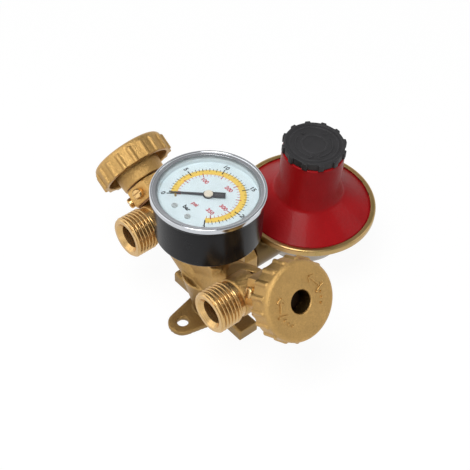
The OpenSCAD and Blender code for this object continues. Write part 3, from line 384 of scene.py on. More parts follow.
@cache
def seal_fibre():
    return mottled("Seal fibre", (500.0, 4200.0), (0.20, 0.09, 0.04), (0.38, 0.20, 0.09),
                   roughness=(0.65, 0.85), bump=(0.0001, 0.6))


@cache
def black_lacquer():
    base = colours().black_case
    return mottled("Black lacquer", (70.0, 1900.0), shaded(base, 0.85), shaded(base, 1.15),
                   roughness=(0.2, 0.3), bump=(0.00006, 0.25), Specular_IOR_Level=0.2)


@cache
def dial_paint(name, rgb):
    return mottled(name, (160.0, 3200.0), shaded(rgb, 0.96), shaded(rgb, 1.03),
                   roughness=(0.4, 0.5), bump=(0.00002, 0.3))


# The bezel is chromed above this height and lacquered like the case below it
BEZEL_BARE = GAUGE_BACK + 22.3 * MM


@cache
def bezel_chrome():
    material, tree, shader = new_finish("Bezel chrome", Specular_IOR_Level=0.25)
    base = colours().chrome
    place = object_place(tree)
    marks = group(tree, turning_group, Vector=place, Rings=3800.0)
    grain = grain_of(tree, 90.0, 2400.0)
    relief = group(tree, relief_group)
    tone = mix_colour(grain["Tone"], shaded(base, 0.92), shaded(base, 1.05))
    # Painted shade in the hollows
    tone = toned(tone, relief["Hollow"], 0.9, shaded(base, 0.12))
    bare = maths("GREATER_THAN", split(place)["Z"], BEZEL_BARE)
    feed(bare, shader.inputs["Metallic"])
    tone = mix_colour(bare, colours().black_case, tone)
    surface(shader, tone, marks, (0.08, 0.16), (0.00003, 0.2))
    return material


@cache
def red_enamel():
    # The enamel's hollows get painted shade
    base = colours().red
    return mottled("Red enamel", (60.0, 900.0), shaded(base, 0.9), shaded(base, 1.12),
                   roughness=(0.3, 0.42), bump=(0.0002, 0.7), painted_relief_light=[("Hollow", 0.35, shaded(base, 0.45))],
                   Specular_IOR_Level=0.08, Coat_Weight=0.06, Coat_Roughness=0.12)


@cache
def cap_plastic():
    # The cap's edges get a painted highlight
    base = colours().cap
    return mottled("Cap plastic", (110.0, 2600.0), shaded(base, 0.85), shaded(base, 1.2),
                   roughness=(0.42, 0.56), bump=(0.00012, 0.5), painted_relief_light=[("Edge", 0.6, shaded(base, 2.4))],
                   Specular_IOR_Level=0.3)


CHROMATE_OLIVE, CHROMATE_ROSE = (0.27, 0.20, 0.065), (0.46, 0.29, 0.16)
# Painted highlight for the zinc's edges and painted shade for its hollows
CHROMATE_HIGHLIGHT, CHROMATE_SHADE = (0.66, 0.49, 0.31), (0.10, 0.075, 0.025)


@cache
def yellow_chromate(lift):
    """Passivated zinc: gold that drifts to olive and rose in slow patches. Lift lightens it."""
    material, tree, shader = new_finish("Yellow chromate", Metallic=1.0)
    slow = grain_of(tree, 38.0, 1600.0)
    patch = grain_of(tree, 95.0, 1600.0)
    relief = group(tree, relief_group)
    tone = mix_colour(slow["Tone"], shaded(CHROMATE_OLIVE, lift), shaded(colours().chromate, lift))
    tone = toned(tone, patch["Tone"], 0.45, shaded(CHROMATE_ROSE, lift))
    # Painted highlight on the edges and painted shade in the hollows
    tone = toned(tone, relief["Edge"], 0.5, shaded(CHROMATE_HIGHLIGHT, lift))
    tone = toned(tone, relief["Hollow"], 0.6, CHROMATE_SHADE)
    surface(shader, tone, patch, (0.24, 0.38), (0.0001, 0.35))
    return material


@cache
def lens_glass():
    """Clear glass. Shadow rays pass straight through, so that the dial behind it is lit."""
    material, tree, shader = new_finish("Lens glass", Transmission_Weight=1.0, IOR=1.45, Roughness=0.0)
    bumped(shader, grain_of(tree, 50.0, 500.0)["Height"], 0.00001, 0.03)
    rays = add(tree, "ShaderNodeLightPath")
    clear = add(tree, "ShaderNodeBsdfTransparent")
    either(rays["Is Shadow Ray"], shader.outputs, clear, "Material Output")
    return material


# Mesh helpers

def rounded(corners, steps):
    """An outline of (radius, height) points from closed corners (radius, height, fillet)."""
    points = []
    for i, (r, z, fillet) in enumerate(corners):
        here = Vector((r, z))
        if fillet <= 0:
            points.append(here)
            continue
        before = Vector(corners[i - 1][:2]) - here
        after = Vector(corners[(i + 1) % len(corners)][:2]) - here
        half = before.angle(after) / 2
        cut = min(fillet / tan(half), 0.49 * before.length, 0.49 * after.length)
        radius = cut * tan(half)
        before.normalize()
        after.normalize()
        centre = here + (before + after).normalized() * (radius / sin(half))
        start = here + before * cut - centre
        turn = start.angle_signed(here + after * cut - centre)
        for k in range(steps + 1):
            spun = start.copy()
            spun.rotate(Matrix.Rotation(-turn * k / steps, 2))
            points.append(centre + spun)
    return points


def baked(made, matrix=None):
    """A plain mesh from a bmesh, moved by the matrix."""
    mesh = bpy.data.meshes.new("piece")
    if matrix is not None:
        made.transform(matrix)
    made.to_mesh(mesh)
    made.free()
    return mesh


def skinned(made, rings, matrix=None, ends=False):
    """A closed mesh with walls from each ring of vertices to the next. A single vertex is a pole.

    The last ring joins the first, or with ends both of them get a flat face.
    """
    for a, b in zip(rings, rings[1:] if ends else rings[1:] + rings[:1]):
        count = max(len(a), len(b))
        for k in range(count):
            m = (k + 1) % count
            corners = (a[k % len(a)], a[m % len(a)], b[m % len(b)], b[k % len(b)])
            corners = list(dict.fromkeys(corners))
            if len(corners) > 2:
                made.faces.new(corners)
    if ends:
        made.faces.new(rings[0])
        made.faces.new(rings[-1])
    bmesh.ops.recalc_face_normals(made, faces=made.faces)
    return baked(made, matrix)


# Points nearer to a lathe's axis than this are poles, in millimetres
ON_AXIS = 1e-6


def lathe(corners, place, segments, steps=5):
    """A closed solid about place's Z, its outline rounded in steps. Points on the axis become poles."""
    made = bmesh.new()
    angles = [2 * pi * k / segments for k in range(segments)]
    rings = []
    for r, z in rounded(corners, steps):
        spots = [(0, 0, z)] if r < ON_AXIS else [(r * cos(a), r * sin(a), z) for a in angles]
        rings.append([made.verts.new(spot) for spot in spots])
    return skinned(made, rings, Matrix(place) @ Matrix.Scale(MM, 4))


def copied(node):
    """A bmesh of a CAD node with its loose triangles joined."""
    made = bmesh.new()
    made.from_mesh(NODES[node].data)
    bmesh.ops.remove_doubles(made, verts=made.verts, dist=1e-6)
    return made


def added(name, data):
    """A new object in the scene."""
    obj = bpy.data.objects.new(name, data)
    bpy.context.scene.collection.objects.link(obj)
    return obj


def taken(holder):
    """The mesh that an object shows with its modifiers. The object is used up."""
    graph = bpy.context.evaluated_depsgraph_get()
    mesh = bpy.data.meshes.new_from_object(holder.evaluated_get(graph))
    bpy.data.objects.remove(holder)
    return mesh


def modified(mesh, *modifiers):
    """The mesh after the modifiers, each a type with its settings."""
    holder = added("holder", mesh)
    for kind, settings in modifiers:
        modifier = holder.modifiers.new(kind, kind)
        for name, value in settings.items():
            setattr(modifier, name, value)
    return taken(holder)


def cast(mesh, voxel, passes):
    """The mesh as a casting: one skin whose edges and corners are rounded."""
    return modified(mesh, ("REMESH", {"mode": "VOXEL", "voxel_size": voxel, "use_smooth_shade": True}),
                    ("SMOOTH", {"factor": 0.5, "iterations": passes}))


RELIEF_LIMIT = 1.5


def column(items, name, width, kind=float):
    """One attribute of a mesh's items as an array with a row for each item."""
    values = np.empty(len(items) * width, kind)
    items.foreach_get(name, values)
    return values.reshape(-1, width)


def with_relief(mesh, scale, passes):
    """Writes the relief attribute: above 0 on edges, below 0 in hollows."""
    count = len(mesh.vertices)
    co = column(mesh.vertices, "co", 3)
    normal = column(mesh.vertex_normals, "vector", 3)
    edges = column(mesh.edges, "vertices", 2, int)
    a, b = edges[:, 0], edges[:, 1]
    step = co[b] - co[a]
    size = np.maximum((step ** 2).sum(1), 1e-14)
    bend = np.zeros(count)
    seen = np.maximum(np.bincount(edges.ravel(), minlength=count), 1)
    np.add.at(bend, a, -(normal[a] * step).sum(1) / size)
    np.add.at(bend, b, (normal[b] * step).sum(1) / size)
    bend = np.clip(bend / seen * MM * scale, -RELIEF_LIMIT, RELIEF_LIMIT)
    for _ in range(passes):
        spread = np.zeros(count)
        np.add.at(spread, a, bend[b])
        np.add.at(spread, b, bend[a])
        bend = 0.5 * bend + 0.5 * spread / seen
    layer = mesh.attributes.new("relief", "FLOAT", "POINT")
    layer.data.foreach_set("value", bend.astype(np.float32))
    return mesh


def smooth(mesh, angle):
    mesh.shade_smooth()
    mesh.set_sharp_from_angle(angle=radians(angle))
    return mesh


def show(name, mesh, node, material, body=None):
    """Adds a finished piece that stands for a CAD node and rides on its body."""
    mesh.materials.clear()
    mesh.materials.append(material)
    mesh.name = name
    obj = added(name, mesh)
    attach(obj, body or BODY_OF[node])
    if node:
        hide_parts(node)


def paint(material, *nodes):
    """Gives CAD nodes that keep their own shape a finish."""
    for node in nodes:
        mesh = NODES[node].data
        mesh.materials.clear()
        mesh.materials.append(material)


def softened(node, width):
    """A copy of a CAD node with its sharp edges rounded."""
    made = copied(node)
    bmesh.ops.dissolve_limit(made, angle_limit=radians(0.6), verts=made.verts, edges=made.edges)
    mesh = modified(baked(made), ("BEVEL", {"width": width, "segments": 2, "limit_method": "ANGLE",
                                            "angle_limit": radians(40)}))
    return smooth(mesh, angle=30)


# A slot's cutter is longer than any screw's head is wide
SLOT_REACH = 8 * MM


def slotted(node, bevel, heads, width, depth):
    """Screws of a CAD node with a slot in each head. A head is a matrix at its top, with Z leaving it."""
    made = bmesh.new()
    for head in heads:
        size = Matrix.Diagonal((SLOT_REACH, width, 2 * depth, 1.0))
        bmesh.ops.create_cube(made, size=1.0, matrix=head @ size)
    cutter = added("cutter", baked(made))
    mesh = modified(softened(node, bevel),
                    ("BOOLEAN", {"object": cutter, "operation": "DIFFERENCE", "solver": "EXACT"}))
    bpy.data.objects.remove(cutter)
    return smooth(mesh, angle=30)


def joined(*meshes):
    """One mesh of several, which are used up."""
    made = bmesh.new()
    for mesh in meshes:
        made.from_mesh(mesh)
        bpy.data.meshes.remove(mesh)
    return baked(made)


# Geometry nodes: copies of one shape set round a circle

RING_INPUTS = {"Geometry": "Geometry", "Shape": "Object", "Count": "Int", "Radius": "Float",
               "Start": "Float", "Step": "Float", "Finish": "Material"}


@cache
def ring_tree():
    tree, inside, outside = new_tree("Ring of copies", "Geometry", RING_INPUTS, {"Geometry": "Geometry"})
    index = add(tree, "GeometryNodeInputIndex")[0]
    angle = maths("ADD", maths("MULTIPLY", index, inside["Step"]), inside["Start"])
    x, y = (maths("MULTIPLY", maths(wave, angle), inside["Radius"]) for wave in ("COSINE", "SINE"))
    spot = add(tree, "ShaderNodeCombineXYZ", {"X": x, "Y": y})[0]
    spin = add(tree, "ShaderNodeCombineXYZ", {"Z": angle})[0]
    points = add(tree, "GeometryNodePoints", {"Count": inside["Count"], "Position": spot})[0]
    shape = add(tree, "GeometryNodeObjectInfo", {"Object": inside["Shape"]})["Geometry"]
    inputs = {"Points": points, "Instance": shape, "Rotation": spin}
    copies = add(tree, "GeometryNodeInstanceOnPoints", inputs)[0]
    real = add(tree, "GeometryNodeRealizeInstances", {0: copies})[0]
    dressed = add(tree, "GeometryNodeSetMaterial", {"Geometry": real, "Material": inside["Finish"]})[0]
    feed(dressed, outside.inputs[0])
    return tree


def ring_of(shape_mesh, count, radius, start, step, material):
    """A mesh of copies round Z. Radius is in metres, the angles in degrees."""
    tree = ring_tree()
    shape = added("shape", shape_mesh)
    holder = added("holder", bpy.data.meshes.new("holder"))
    modifier = holder.modifiers.new("Ring of copies", "NODES")
    modifier.node_group = tree
    values = {"Shape": shape, "Count": count, "Radius": radius, "Start": radians(start),
              "Step": radians(step), "Finish": material}
    for item in tree.interface.items_tree:
        if item.in_out == "INPUT" and item.name in values:
            modifier[item.identifier] = values[item.name]
    mesh = taken(holder)
    if not mesh.vertices:
        raise RuntimeError("the ring of copies came out empty")
    bpy.data.objects.remove(shape)
    return mesh


# Body and inlets

class MANIFOLD_OT_body(bpy.types.Operator):
    """Forged body with rounded edges and its seals"""
    bl_idname = "manifold.body"
    bl_label = "Forged body"

    def execute(self, context):
        skin = cast(baked(copied("manifold_body")), sizes().casting_grain, passes=5)
        show("forged_body", with_relief(skin, scale=1.5, passes=16), "manifold_body", forged_brass())
        paint(seal_fibre(), "gauge_washer", "link_washer", "left_bonnet_washer", "right_bonnet_washer")
        paint(machined_brass(), "link_nipple")
        return {"FINISHED"}


# Share of the thread's pitch that its two flanks take up
THREAD_FLANK = 0.72
# A nipple's levels along -Y, its radii, and the lengths of its mouth, bevel, step and thread run-out
NIPPLE = {"seat": 10.5, "neck_end": 12.3, "neck": 8.8, "spigot": 7.5, "bore": 5.6, "mouth": 7.4,
          "mouth_depth": 2.0, "bevel": 0.9, "neck_step": 0.2, "run_out": 1.3}
NIPPLE_SEGMENTS, ROWS_PER_PITCH = 120, 12


def thread_height(phase):
    """Rounded thread profile over one pitch, from 0 at the root to 1 at the crest."""
    slope = abs((phase % 1.0) * 2 - 1)
    return 0.5 - 0.5 * cos(pi * min(1.0, slope / THREAD_FLANK))


def nipple_mesh(node):
    """A nipple with a left-hand thread that runs out at its neck, open along -Y."""
    low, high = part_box(node)
    x, z = (low.x + high.x) / 2, (low.z + high.z) / 2
    near, far = -high.y, -low.y
    crest = (high.x - low.x) / 2
    pitch, depth = sizes().thread_pitch, sizes().thread_depth
    size = {name: value * MM for name, value in NIPPLE.items()}
    seat, neck_end, neck = size["seat"], size["neck_end"], size["neck"]

    def thread_radius(y, turn):
        r = crest - depth + depth * thread_height(y / pitch + turn)
        r = neck + (r - neck) * min(1.0, (y - neck_end) / size["run_out"])
        return min(r, crest - size["bevel"] + (far - y))

    count = int((far - neck_end) / pitch * ROWS_PER_PITCH)
    rows = [(near, size["spigot"]), (seat, size["spigot"]), (seat, neck),
            (neck_end - size["neck_step"], neck)]
    rows += [(neck_end + (far - neck_end) * i / count, None) for i in range(count + 1)]
    rows += [(far, size["mouth"]), (far - size["mouth_depth"], size["bore"]), (near, size["bore"])]
    made = bmesh.new()
    rings = []
    for y, radius in rows:
        ring = []
        for k in range(NIPPLE_SEGMENTS):
            turn = k / NIPPLE_SEGMENTS
            r = thread_radius(y, turn) if radius is None else radius
            a = 2 * pi * turn
            ring.append(made.verts.new((x + r * cos(a), -y, z + r * sin(a))))
        rings.append(ring)
    return smooth(with_relief(skinned(made, rings), scale=0.5, passes=1), angle=40)


class MANIFOLD_OT_inlets(bpy.types.Operator):
    """Threaded inlet nipples"""
    bl_idname = "manifold.inlets"
    bl_label = "Inlet nipples"

    def execute(self, context):
        for side in SIDES:
            node = side + "_inlet_nipple"
            low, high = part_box(node)
            brass = machined_brass(tuple((low + high) / 2), (pi / 2, 0.0, 0.0))
            show(side + "_threaded_nipple", nipple_mesh(node), node, brass)
        return {"FINISHED"}


# Valves and handwheels

# Lock screws: their level along the valve, the height of their heads, their turns from -Y and their slots
LOCK_LEVEL, LOCK_TOP, LOCK_TURNS = 14.75 * MM, 12.8 * MM, (-30, 30)
LOCK_SLOT_WIDTH, LOCK_SLOT_DEPTH = 0.9 * MM, 1.0 * MM


def lock_heads(side):
    """Places of the tops of a valve's lock screws."""
    middle = joint_place(side + "_wheel_turn") @ Matrix.Translation((0, 0, LOCK_LEVEL))
    return [middle @ Matrix.Rotation(radians(turn), 4, "Z") @ Matrix.Rotation(pi / 2, 4, "X")
            @ Matrix.Translation((0, 0, LOCK_TOP)) for turn in LOCK_TURNS]


class MANIFOLD_OT_valves(bpy.types.Operator):
    """Bonnets, lock screws, stems and seats of both valves"""
    bl_idname = "manifold.valves"
    bl_label = "Valves"

    def execute(self, context):
        bevel = sizes().hex_bevel
        for side in SIDES:
            bonnet, screws = side + "_bonnet", side + "_lock_screws"
            hexagon = with_relief(softened(bonnet, bevel), scale=0.3, passes=2)
            show(side + "_hexagon_bonnet", hexagon, bonnet, forged_brass())
            cut = slotted(screws, 0.5 * bevel, lock_heads(side), LOCK_SLOT_WIDTH, LOCK_SLOT_DEPTH)
            show(side + "_slotted_screws", cut, screws, machined_brass())
            # Stems and nuts deep in the wheels' holes are near black as painted shade
            paint(oiled_steel(), side + "_stem", side + "_wheel_nut")
            paint(machined_brass(), side + "_pad_holder")
            paint(seal_rubber(), side + "_seat_pad", side + "_stem_seal")
        return {"FINISHED"}


# Outlines are corners of radius, height and fillet, closed on themselves
WHEEL_FACE = 36.7
WHEEL_OUTLINE = (
    (0.0, 19.6, 0), (11.0, 19.6, 0.6), (11.5, 25.9, 1.0), (11.5, 32.7, 2.2), (16.1, 32.7, 1.2),
    (16.1, 25.9, 0.5), (18.1, 25.9, 0.6), (18.1, WHEEL_FACE, 2.2), (5.7, WHEEL_FACE, 0.3), (5.2, 36.2, 0.2),
    (5.2, 25.7, 0.4), (0.0, 25.7, 0),
)
# One ridge of a wheel's skirt is a rod with a round top
RIDGE_OUTLINE = ((0.0, 25.9, 0), (1.3, 25.9, 0.3), (1.3, 34.1, 1.2), (0.0, 34.1, 0))
RIDGE_CIRCLE = 17.7 * MM
# The wheel's hole gets painted shade from just under its edge down to its floor
HOLE_RADIUS, HOLE_TOP, HOLE_DEPTH, HOLE_SHADE = 5.6, WHEEL_FACE - 1.0, 12.0, -0.7


def polar(radius, angle):
    """A flat point at an angle in degrees."""
    return radius * cos(radians(angle)), radius * sin(radians(angle))


def arc_points(radius, start, end, steps):
    return [polar(radius, start + (end - start) * k / steps) for k in range(steps + 1)]


def stroke(points, width, height, base):
    """A raised stroke along flat points: bevelled sides, from base up by height."""
    foot, shoulder = -0.2, height * 0.7
    profile = ((-1.25, foot), (-1.0, shoulder), (-0.6, height), (0.6, height), (1.0, shoulder), (1.25, foot))
    made = bmesh.new()
    rails = []
    for i, point in enumerate(points):
        here = Vector(point)
        ahead = Vector(points[min(i + 1, len(points) - 1)]) - Vector(points[max(i - 1, 0)])
        across = Vector((-ahead.y, ahead.x)).normalized()
        rails.append([made.verts.new((*(here + across * offset * width / 2), base + level))
                      for offset, level in profile])
    return skinned(made, rails, Matrix.Scale(MM, 4), ends=True)


def raised(lines, width, rise, face, place):
    """One mesh of strokes that stand on a flat face."""
    mesh = joined(*[stroke(points, width, rise, face) for points in lines])
    mesh.transform(place)
    return smooth(mesh, angle=50)


def arrow_head(tip, along, back, half):
    """The two lines of an arrow's head."""
    across = Vector((-along.y, along.x))
    return [[tip, tip - along * back + across * side * half] for side in (-1, 1)]


MARK_RADIUS, MARK_WIDTH = 11.3, 0.95
# An arrow's turn in degrees, how far its shaft ends short of the tip, a dot's half length, its shift inwards
ARROW_TURN, SHAFT_SHORT, DOT_HALF, DOT_SHIFT = 35, 0.4, 0.45, 0.4
# The bar behind an arrow, as steps outwards and turns in degrees, and the turns of the dots behind the bar
MARK_BAR = ((2.0, 4), (0.0, 6), (-1.4, 9), (-2.6, 14))
MARK_DOTS = (18, 31, 44)


def wheel_marks(place):
    """Two raised groups on a wheel's face: an arrow, then a bar and three dots."""
    lines = []
    for start, way in ((-90, -1), (104, 1)):
        tail, tip = (Vector(polar(MARK_RADIUS, start + turn * way)) for turn in (0, ARROW_TURN))
        along = (tip - tail).normalized()
        lines.append([tail, tip - along * SHAFT_SHORT])
        lines += arrow_head(tip, along, back=1.9, half=1.8)
        lines.append([polar(MARK_RADIUS + out, start - turn * way) for out, turn in MARK_BAR])
        for turn in MARK_DOTS:
            dot = Vector(polar(MARK_RADIUS - DOT_SHIFT, start - turn * way))
            lines.append([dot - along * DOT_HALF, dot + along * DOT_HALF])
    return raised(lines, MARK_WIDTH, sizes().arrow_rise / MM, WHEEL_FACE, place)


def grimy(mesh, place):
    """Marks the relief inside the hole of a wheel at place as hollow, which gives the hole painted shade."""
    turn = np.array(place.inverted())
    x, y, z = ((column(mesh.vertices, "co", 3) @ turn[:3, :3].T + turn[:3, 3]) / MM).T
    inside = (np.hypot(x, y) < HOLE_RADIUS) & (z < HOLE_TOP) & (z > HOLE_TOP - HOLE_DEPTH)
    layer = mesh.attributes["relief"]
    value = column(layer.data, "value", 1, np.float32).ravel()
    value[inside] = HOLE_SHADE
    layer.data.foreach_set("value", value)
    return mesh


class MANIFOLD_OT_handwheels(bpy.types.Operator):
    """Cast handwheels with ridges and turning arrows"""
    bl_idname = "manifold.handwheels"
    bl_label = "Handwheels"

    def execute(self, context):
        count = sizes().wheel_ridges
        brass = forged_brass()
        for side in SIDES:
            node = side + "_handwheel"
            place = joint_place(side + "_wheel_turn")
            disc = lathe(WHEEL_OUTLINE, Matrix.Identity(4), segments=160)
            ridge = lathe(RIDGE_OUTLINE, Matrix.Identity(4), segments=20)
            ridges = ring_of(ridge, count, RIDGE_CIRCLE, 0.0, 360.0 / count, brass)
            skin = cast(joined(disc, ridges), sizes().wheel_grain, passes=2)
            skin.transform(place)
            show(side + "_cast_wheel", grimy(with_relief(skin, scale=0.5, passes=4), place), node, brass)
            show(side + "_wheel_arrows", wheel_marks(place), node, brass)
        return {"FINISHED"}


# Gauge

BEZEL_OUTLINE = (
    (24.6, 21.0, 0), (25.7, 21.0, 0.3), (25.99, 21.6, 0.3), (25.99, 24.6, 1.0), (24.75, 24.6, 0.4),
    (24.5, 24.0, 0.15), (23.2, 23.95, 0.1), (23.2, 23.7, 0), (24.6, 23.7, 0),
)


class MANIFOLD_OT_gauge(bpy.types.Operator):
    """Gauge case, bezel, lens and socket"""
    bl_idname = "manifold.gauge"
    bl_label = "Gauge shell"

    def execute(self, context):
        back = Matrix.Translation((0, 0, GAUGE_BACK))
        ring = with_relief(lathe(BEZEL_OUTLINE, back, segments=160), scale=0.2, passes=0)
        show("chrome_bezel", smooth(ring, angle=60), "gauge_bezel", bezel_chrome())
        paint(black_lacquer(), "gauge_case")
        paint(lens_glass(), "gauge_lens")
        # The gasket is black rubber; its light grey is painted reflection from the lens edge
        paint(dial_paint("Gasket grey", (0.42, 0.47, 0.49)), "lens_gasket")
        paint(dial_paint("Ring grey", (0.60, 0.68, 0.71)), "spacer_ring")
        socket = softened("gauge_socket", sizes().hex_bevel)
        show("hexagon_socket", socket, "gauge_socket", machined_brass())
        return {"FINISHED"}


DIAL_ZERO, DIAL_SWEEP = 225.0, 270.0
BAND_OUTER, BAND_INNER, BAND_STEPS = 16.9, 13.9, 90
# A row of ticks is its inner and outer radius, its width, its count and the units from one to the next
BAR_SCALE = {
    "end": 25.0, "unit": "bar", "unit_at": (0.0, -12.2), "text": 3.0,
    "numbers": (0, 5, 10, 15, 20, 25), "radius": 20.1,
    "ticks": ((16.2, 17.7, 0.24, 51, 0.5), (15.8, 18.0, 0.3, 26, 1), (15.2, 18.5, 0.55, 6, 5)),
}
PSI_SCALE = {
    "end": 362.6, "unit": "psi", "unit_at": (0.4, -7.8), "text": 2.8,
    "numbers": (100, 200, 300, 350), "radius": 9.9,
    "ticks": ((12.7, 14.2, 0.24, 37, 10), (12.2, 14.8, 0.45, 8, 50)),
}
# Print keeps this far off the dial's face
INK_GAP = 0.004 * MM
DIAL_SCREW_X, DIAL_SCREW_BEVEL = 4.5 * MM, 0.2 * MM
DIAL_SLOT_WIDTH, DIAL_SLOT_DEPTH = 0.4 * MM, 0.35 * MM


def plate(outline, height):
    """A flat plate from an outline, standing on z = 0, with its height in metres."""
    made = bmesh.new()
    rings = [[made.verts.new((x * MM, y * MM, z)) for x, y in outline] for z in (0, height)]
    return skinned(made, rings, ends=True)


def tick(near, far, width, height):
    return plate([(near, -width / 2), (far, -width / 2), (far, width / 2), (near, width / 2)], height)


def word(text, size, at, height):
    """Text as a flat plate with its middle at a point, with its height in metres."""
    curve = bpy.data.curves.new("word", "FONT")
    curve.body = text
    curve.size = size * MM
    curve.align_x = curve.align_y = "CENTER"
    curve.extrude = height / 2
    curve.offset = 0.035 * size * MM
    mesh = taken(added("holder", curve))
    mesh.transform(Matrix.Translation((at[0] * MM, at[1] * MM, height / 2)))
    return mesh


def scale_mesh(scale, rise, ink):
    """Ticks, numbers and unit of one of the dial's scales."""
    step = -DIAL_SWEEP / scale["end"]
    rings = [ring_of(tick(near, far, width, rise), count, 0.0, DIAL_ZERO, step * units, ink)
             for near, far, width, count, units in scale["ticks"]]
    numbers = [word(str(v), scale["text"], polar(scale["radius"], DIAL_ZERO + step * v), rise)
               for v in scale["numbers"]]
    return joined(*rings, *numbers, word(scale["unit"], scale["text"], scale["unit_at"], rise))


class MANIFOLD_OT_dial(bpy.types.Operator):
    """Printed dial with its scales, and the pointer"""
    bl_idname = "manifold.dial"
    bl_label = "Dial"

    def execute(self, context):
        rise = sizes().ink_rise
        white = dial_paint("Dial white", tuple(colours().dial))
        yellow = dial_paint("Dial yellow", tuple(colours().band))
        black = dial_paint("Dial black", (0.018, 0.02, 0.026))
        red = dial_paint("Dial red", (0.52, 0.085, 0.105))
        paint(white, "dial_plate")
        paint(dial_paint("Pointer black", (0.035, 0.036, 0.042)), "pointer")
        paint(dial_paint("Hub cream", (0.70, 0.64, 0.52)), "pointer_boss")
        paint(machined_brass(), "stop_pin")
        end = DIAL_ZERO - DIAL_SWEEP
        band = plate(arc_points(BAND_OUTER, DIAL_ZERO, end, BAND_STEPS)
                     + arc_points(BAND_INNER, end, DIAL_ZERO, BAND_STEPS), rise * 0.5)
        for name, mesh, ink in (("dial_band", band, yellow),
                                ("dial_bar_scale", scale_mesh(BAR_SCALE, rise, black), black),
                                ("dial_psi_scale", scale_mesh(PSI_SCALE, rise, red), red)):
            mesh.transform(Matrix.Translation((0, 0, DIAL_TOP + INK_GAP)))
            show(name, mesh, None, ink, "root")
        low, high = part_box("dial_screws")
        heads = [Matrix.Translation((x, (low.y + high.y) / 2, high.z)) for x in (-DIAL_SCREW_X, DIAL_SCREW_X)]
        screws = slotted("dial_screws", DIAL_SCREW_BEVEL, heads, DIAL_SLOT_WIDTH, DIAL_SLOT_DEPTH)
        zinc = dial_paint("Screw zinc", (0.44, 0.48, 0.48))
        show("dial_slotted_screws", screws, "dial_screws", zinc)
        return {"FINISHED"}


class MANIFOLD_OT_movement(bpy.types.Operator):
    """Movement inside the gauge"""
    bl_idname = "manifold.movement"
    bl_label = "Gauge movement"

    def execute(self, context):
        paint(machined_brass(), "pinion", "sector_gear", "movement_frame", "hairspring", "bourdon_tube")
        paint(plain_steel(), "bourdon_link")
        return {"FINISHED"}


# Regulator

BONNET_OUTLINE = (
    (32.2, 9.6, 0), (32.2, 10.55, 0), (30.75, 10.55, 0), (30.4, 11.0, 0.3), (16.6, 20.1, 3.2),
    (14.8, 26.5, 0), (14.8, 45.0, 0.7), (12.7, 45.0, 0.3), (12.7, 19.0, 0.8), (28.3, 9.6, 0),
)
RIM_OUTLINE = (
    (32.35, 7.6, 0), (33.0, 7.6, 0.4), (33.7, 8.4, 0.6), (33.7, 11.5, 1.1), (31.1, 11.5, 0.45),
    (31.0, 10.65, 0.1), (32.35, 10.65, 0.1),
)
CAP_FACE = 48.75
CAP_OUTLINE = (
    (0.0, 36.8, 0), (12.5, 36.8, 0.6), (12.5, 45.3, 0), (14.2, 45.3, 0.4), (14.4, 49.3, 0.6),
    (13.2, 49.3, 0.3), (12.8, CAP_FACE, 0.15), (11.9, CAP_FACE, 0.1), (11.7, 49.05, 0.12),
    (11.1, 49.05, 0.12), (10.9, CAP_FACE, 0.1), (6.5, CAP_FACE, 0.1), (6.3, 49.0, 0.1), (5.6, 49.0, 0.1),
    (5.4, CAP_FACE, 0.1), (0.0, CAP_FACE, 0),
)
# How light the zinc is on the bowl and on the rim. The rim's lighter copy is a painted highlight.
BOWL_LIFT, RIM_HIGHLIGHT_LIFT = 0.36, 1.35
# A rib of the cap: its depth, width and height, how far it narrows outwards, where its middle is, its bevel
RIB_SIZE, RIB_TAPER, RIB_MIDDLE, RIB_BEVEL = (1.8, 3.1, 3.85), 0.8, (-0.3, 0.0, 47.3), 0.35 * MM
RIB_CIRCLE = 14.65 * MM
# Marks on the cap: their circle, width and height, the arrows' sweep, and how far they are turned
CAP_MARK_RADIUS, CAP_MARK_WIDTH, CAP_MARK_RISE, CAP_MARK_SWEEP, CAP_MARK_TURN = 8.7, 0.65, 0.3, 115, 49
# The signs stand behind the arrows' tails, in degrees, and reach this far from their middles
SIGN_BEHIND, SIGN_REACH = 24, 1.2


def rib_mesh():
    """One rib of the adjusting cap: a block with rounded edges, its outer side towards +X."""
    made = bmesh.new()
    bmesh.ops.create_cube(made, size=1.0)
    for v in made.verts:
        taper = 1.0 if v.co.x < 0 else RIB_TAPER
        size = Vector((RIB_SIZE[0], RIB_SIZE[1] * taper, RIB_SIZE[2]))
        v.co = (v.co * size + Vector(RIB_MIDDLE)) * MM
    return modified(baked(made), ("BEVEL", {"width": RIB_BEVEL, "segments": 3, "limit_method": "ANGLE"}))


def cap_marks():
    """Raised marks in the cap's dish: two arrows, with a plus and a minus behind their tails."""
    lines = []
    for start, way in ((150, 1), (30, -1)):
        arc = arc_points(CAP_MARK_RADIUS, start, start + CAP_MARK_SWEEP * way, 14)
        tip = Vector(arc[-1])
        lines.append(arc)
        lines += arrow_head(tip, (tip - Vector(arc[-2])).normalized(), back=1.8, half=1.5)
        sign = Vector(polar(CAP_MARK_RADIUS, start - SIGN_BEHIND * way))
        reaches = [(SIGN_REACH, 0), (0, SIGN_REACH)] if way > 0 else [(SIGN_REACH, 0)]
        lines += [[sign - Vector(reach), sign + Vector(reach)] for reach in reaches]
    place = REGULATOR @ Matrix.Rotation(radians(CAP_MARK_TURN), 4, "Z")
    return raised(lines, CAP_MARK_WIDTH, CAP_MARK_RISE, CAP_FACE, place)


def coil_spring(node, material):
    """A smooth copy of the adjusting spring, which takes the place of its CAD node."""
    made = copied(node)
    mesh = smooth(baked(made), angle=50)
    mesh.materials.append(material)
    obj = added("coil_spring", mesh)
    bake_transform(obj)
    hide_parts(node)


